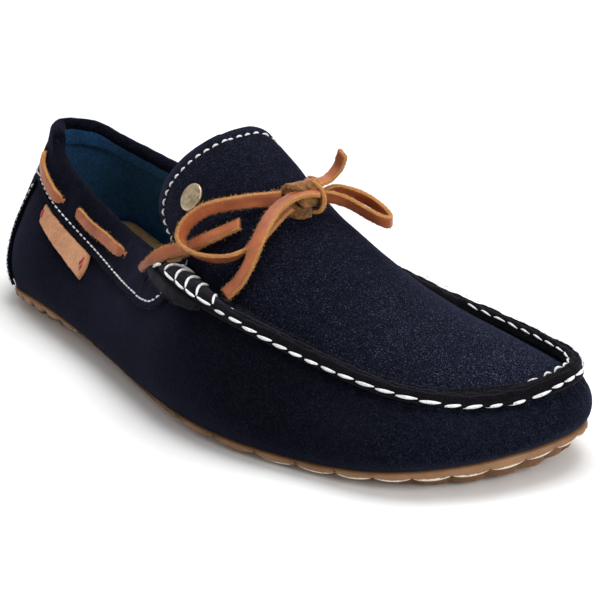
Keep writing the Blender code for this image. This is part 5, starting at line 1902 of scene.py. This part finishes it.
def make_stage(look):
    """Plain pale floor, soft lights and the camera."""
    studio = look.studio
    mesh = bpy.data.meshes.new("Floor")
    reach = 6.0
    corners = [(-reach, -reach, 0), (reach, -reach, 0), (reach, reach, 0), (-reach, reach, 0)]
    mesh.from_pydata(corners, [], [(0, 1, 2, 3)])
    mesh.materials.append(finish_tree("Pale floor", studio.floor, 0.85, Specular_IOR_Level=0.1)[0])
    floor = placed("Floor", mesh)
    target = Vector(TARGET)
    for name, spot, size, key_share, fill_share in LIGHTS:
        data = bpy.data.lights.new(name, "AREA")
        data.energy = studio.key * key_share + studio.fill * fill_share
        data.size = size
        light = placed(name, data)
        light.location = spot
        light.rotation_euler = (Vector(spot) - target).to_track_quat("Z", "Y").to_euler()
    world = bpy.data.worlds.new("Studio")
    world.use_nodes = True
    sky = world.node_tree.nodes["Background"]
    sky.inputs["Color"].default_value = (1, 1, 1, 1)
    sky.inputs["Strength"].default_value = studio.sky
    bpy.context.scene.world = world
    a, e, roll = studio.azimuth, studio.elevation, studio.roll
    back = Vector((math.sin(a) * math.cos(e), -math.cos(a) * math.cos(e), math.sin(e)))
    right = Vector((math.cos(a), math.sin(a), 0))
    up = back.cross(right)
    right, up = right * math.cos(roll) + up * math.sin(roll), up * math.cos(roll) - right * math.sin(roll)
    turn = Matrix((right, up, back)).transposed().to_4x4()
    data = bpy.data.cameras.new("Camera")
    data.lens = studio.lens
    data.sensor_width = 36
    camera = placed("Camera", data)
    camera.matrix_world = Matrix.Translation(target + back * studio.distance) @ turn
    bpy.context.scene.camera = camera
    bpy.context.scene.view_settings.view_transform = "Standard"


# ---------------------------------------------------------------- operators and panel
class MOCCASIN_OT_stage(bpy.types.Operator):
    """Lay the floor and set the lights and the camera"""
    bl_idname = "moccasin.stage"
    bl_label = "Stage"
    bl_options = {"REGISTER", "UNDO"}

    def execute(self, context):
        make_stage(context.scene.moccasin)
        return {"FINISHED"}


class MOCCASIN_OT_bow(bpy.types.Operator):
    """Tie the bow: knot, loops and cut ends"""
    bl_idname = "moccasin.bow"
    bl_label = "Bow"
    bl_options = {"REGISTER", "UNDO"}

    def execute(self, context):
        make_bow(context.scene.moccasin)
        return {"FINISHED"}


class MOCCASIN_OT_laces(bpy.types.Operator):
    """Thread the lace through the band and over the throat"""
    bl_idname = "moccasin.laces"
    bl_label = "Threaded lace"
    bl_options = {"REGISTER", "UNDO"}

    def execute(self, context):
        make_band_laces(context.scene.moccasin)
        make_crossings(context.scene.moccasin)
        return {"FINISHED"}


class MOCCASIN_OT_upper(bpy.types.Operator):
    """Make the suede upper with its lining"""
    bl_idname = "moccasin.upper"
    bl_label = "Upper"
    bl_options = {"REGISTER", "UNDO"}

    def execute(self, context):
        make_upper(context.scene.moccasin)
        return {"FINISHED"}


class MOCCASIN_OT_seam(bpy.types.Operator):
    """Make the raised seam and its whipped ends"""
    bl_idname = "moccasin.seam"
    bl_label = "Raised seam"
    bl_options = {"REGISTER", "UNDO"}

    def execute(self, context):
        make_apron_seam(context.scene.moccasin)
        make_throat_rolls(context.scene.moccasin)
        return {"FINISHED"}


class MOCCASIN_OT_collar(bpy.types.Operator):
    """Make the collar band with its rolled rim and its ears"""
    bl_idname = "moccasin.collar"
    bl_label = "Collar"
    bl_options = {"REGISTER", "UNDO"}

    def execute(self, context):
        make_collar_band(context.scene.moccasin)
        make_throat_tabs(context.scene.moccasin)
        return {"FINISHED"}


class MOCCASIN_OT_counter(bpy.types.Operator):
    """Make the overlay behind the heel"""
    bl_idname = "moccasin.counter"
    bl_label = "Heel counter"
    bl_options = {"REGISTER", "UNDO"}

    def execute(self, context):
        make_heel_counter(context.scene.moccasin)
        return {"FINISHED"}


class MOCCASIN_OT_stitching(bpy.types.Operator):
    """Sew the rows of stitches"""
    bl_idname = "moccasin.stitching"
    bl_label = "Stitching"
    bl_options = {"REGISTER", "UNDO"}

    def execute(self, context):
        make_stitching(context.scene.moccasin)
        return {"FINISHED"}


class MOCCASIN_OT_trim(bpy.types.Operator):
    """Set the brass button and the side tag"""
    bl_idname = "moccasin.trim"
    bl_label = "Button and tag"
    bl_options = {"REGISTER", "UNDO"}

    def execute(self, context):
        make_rivet()
        make_side_tag()
        return {"FINISHED"}


class MOCCASIN_OT_sole(bpy.types.Operator):
    """Mould the sole and lay the sock"""
    bl_idname = "moccasin.sole"
    bl_label = "Sole and sock"
    bl_options = {"REGISTER", "UNDO"}

    def execute(self, context):
        make_outsole(context.scene.moccasin)
        make_nubs(context.scene.moccasin)
        make_insole()
        return {"FINISHED"}


class MOCCASIN_OT_edges(bpy.types.Operator):
    """Raise loose fibres along the cut edges"""
    bl_idname = "moccasin.edges"
    bl_label = "Raw edges"
    bl_options = {"REGISTER", "UNDO"}

    def execute(self, context):
        make_raw_edges(context.scene.moccasin)
        return {"FINISHED"}


OPERATORS = (
    MOCCASIN_OT_stage, MOCCASIN_OT_bow, MOCCASIN_OT_laces, MOCCASIN_OT_upper, MOCCASIN_OT_seam,
    MOCCASIN_OT_collar, MOCCASIN_OT_counter, MOCCASIN_OT_stitching, MOCCASIN_OT_trim,
    MOCCASIN_OT_sole, MOCCASIN_OT_edges,
)
GROUPS = (SuedeLook, LaceLook, StitchLook, SoleLook, StudioLook, MoccasinLook)


class MOCCASIN_PT_panel(bpy.types.Panel):
    """Builders and looks of the driving moccasin"""
    bl_label = "Driving moccasin"
    bl_idname = "MOCCASIN_PT_panel"
    bl_space_type = "VIEW_3D"
    bl_region_type = "UI"
    bl_category = "Moccasin"

    def draw(self, context):
        look = context.scene.moccasin
        for name in ("suede", "lace", "stitch", "sole", "studio"):
            group = getattr(look, name)
            box = self.layout.box()
            box.label(text=name.capitalize())
            for key in group.__annotations__:
                box.prop(group, key)
        for operator in OPERATORS:
            self.layout.operator(operator.bl_idname)


def register():
    for cls in (*GROUPS, *OPERATORS, MOCCASIN_PT_panel):
        bpy.utils.register_class(cls)
    bpy.types.Scene.moccasin = PointerProperty(type=MoccasinLook)


def unregister():
    del bpy.types.Scene.moccasin
    for cls in reversed((*GROUPS, *OPERATORS, MOCCASIN_PT_panel)):
        bpy.utils.unregister_class(cls)


def main():
    register()
    for operator in OPERATORS:
        group, name = operator.bl_idname.split(".")
        getattr(getattr(bpy.ops, group), name)()


if __name__ == "__main__":
    main()
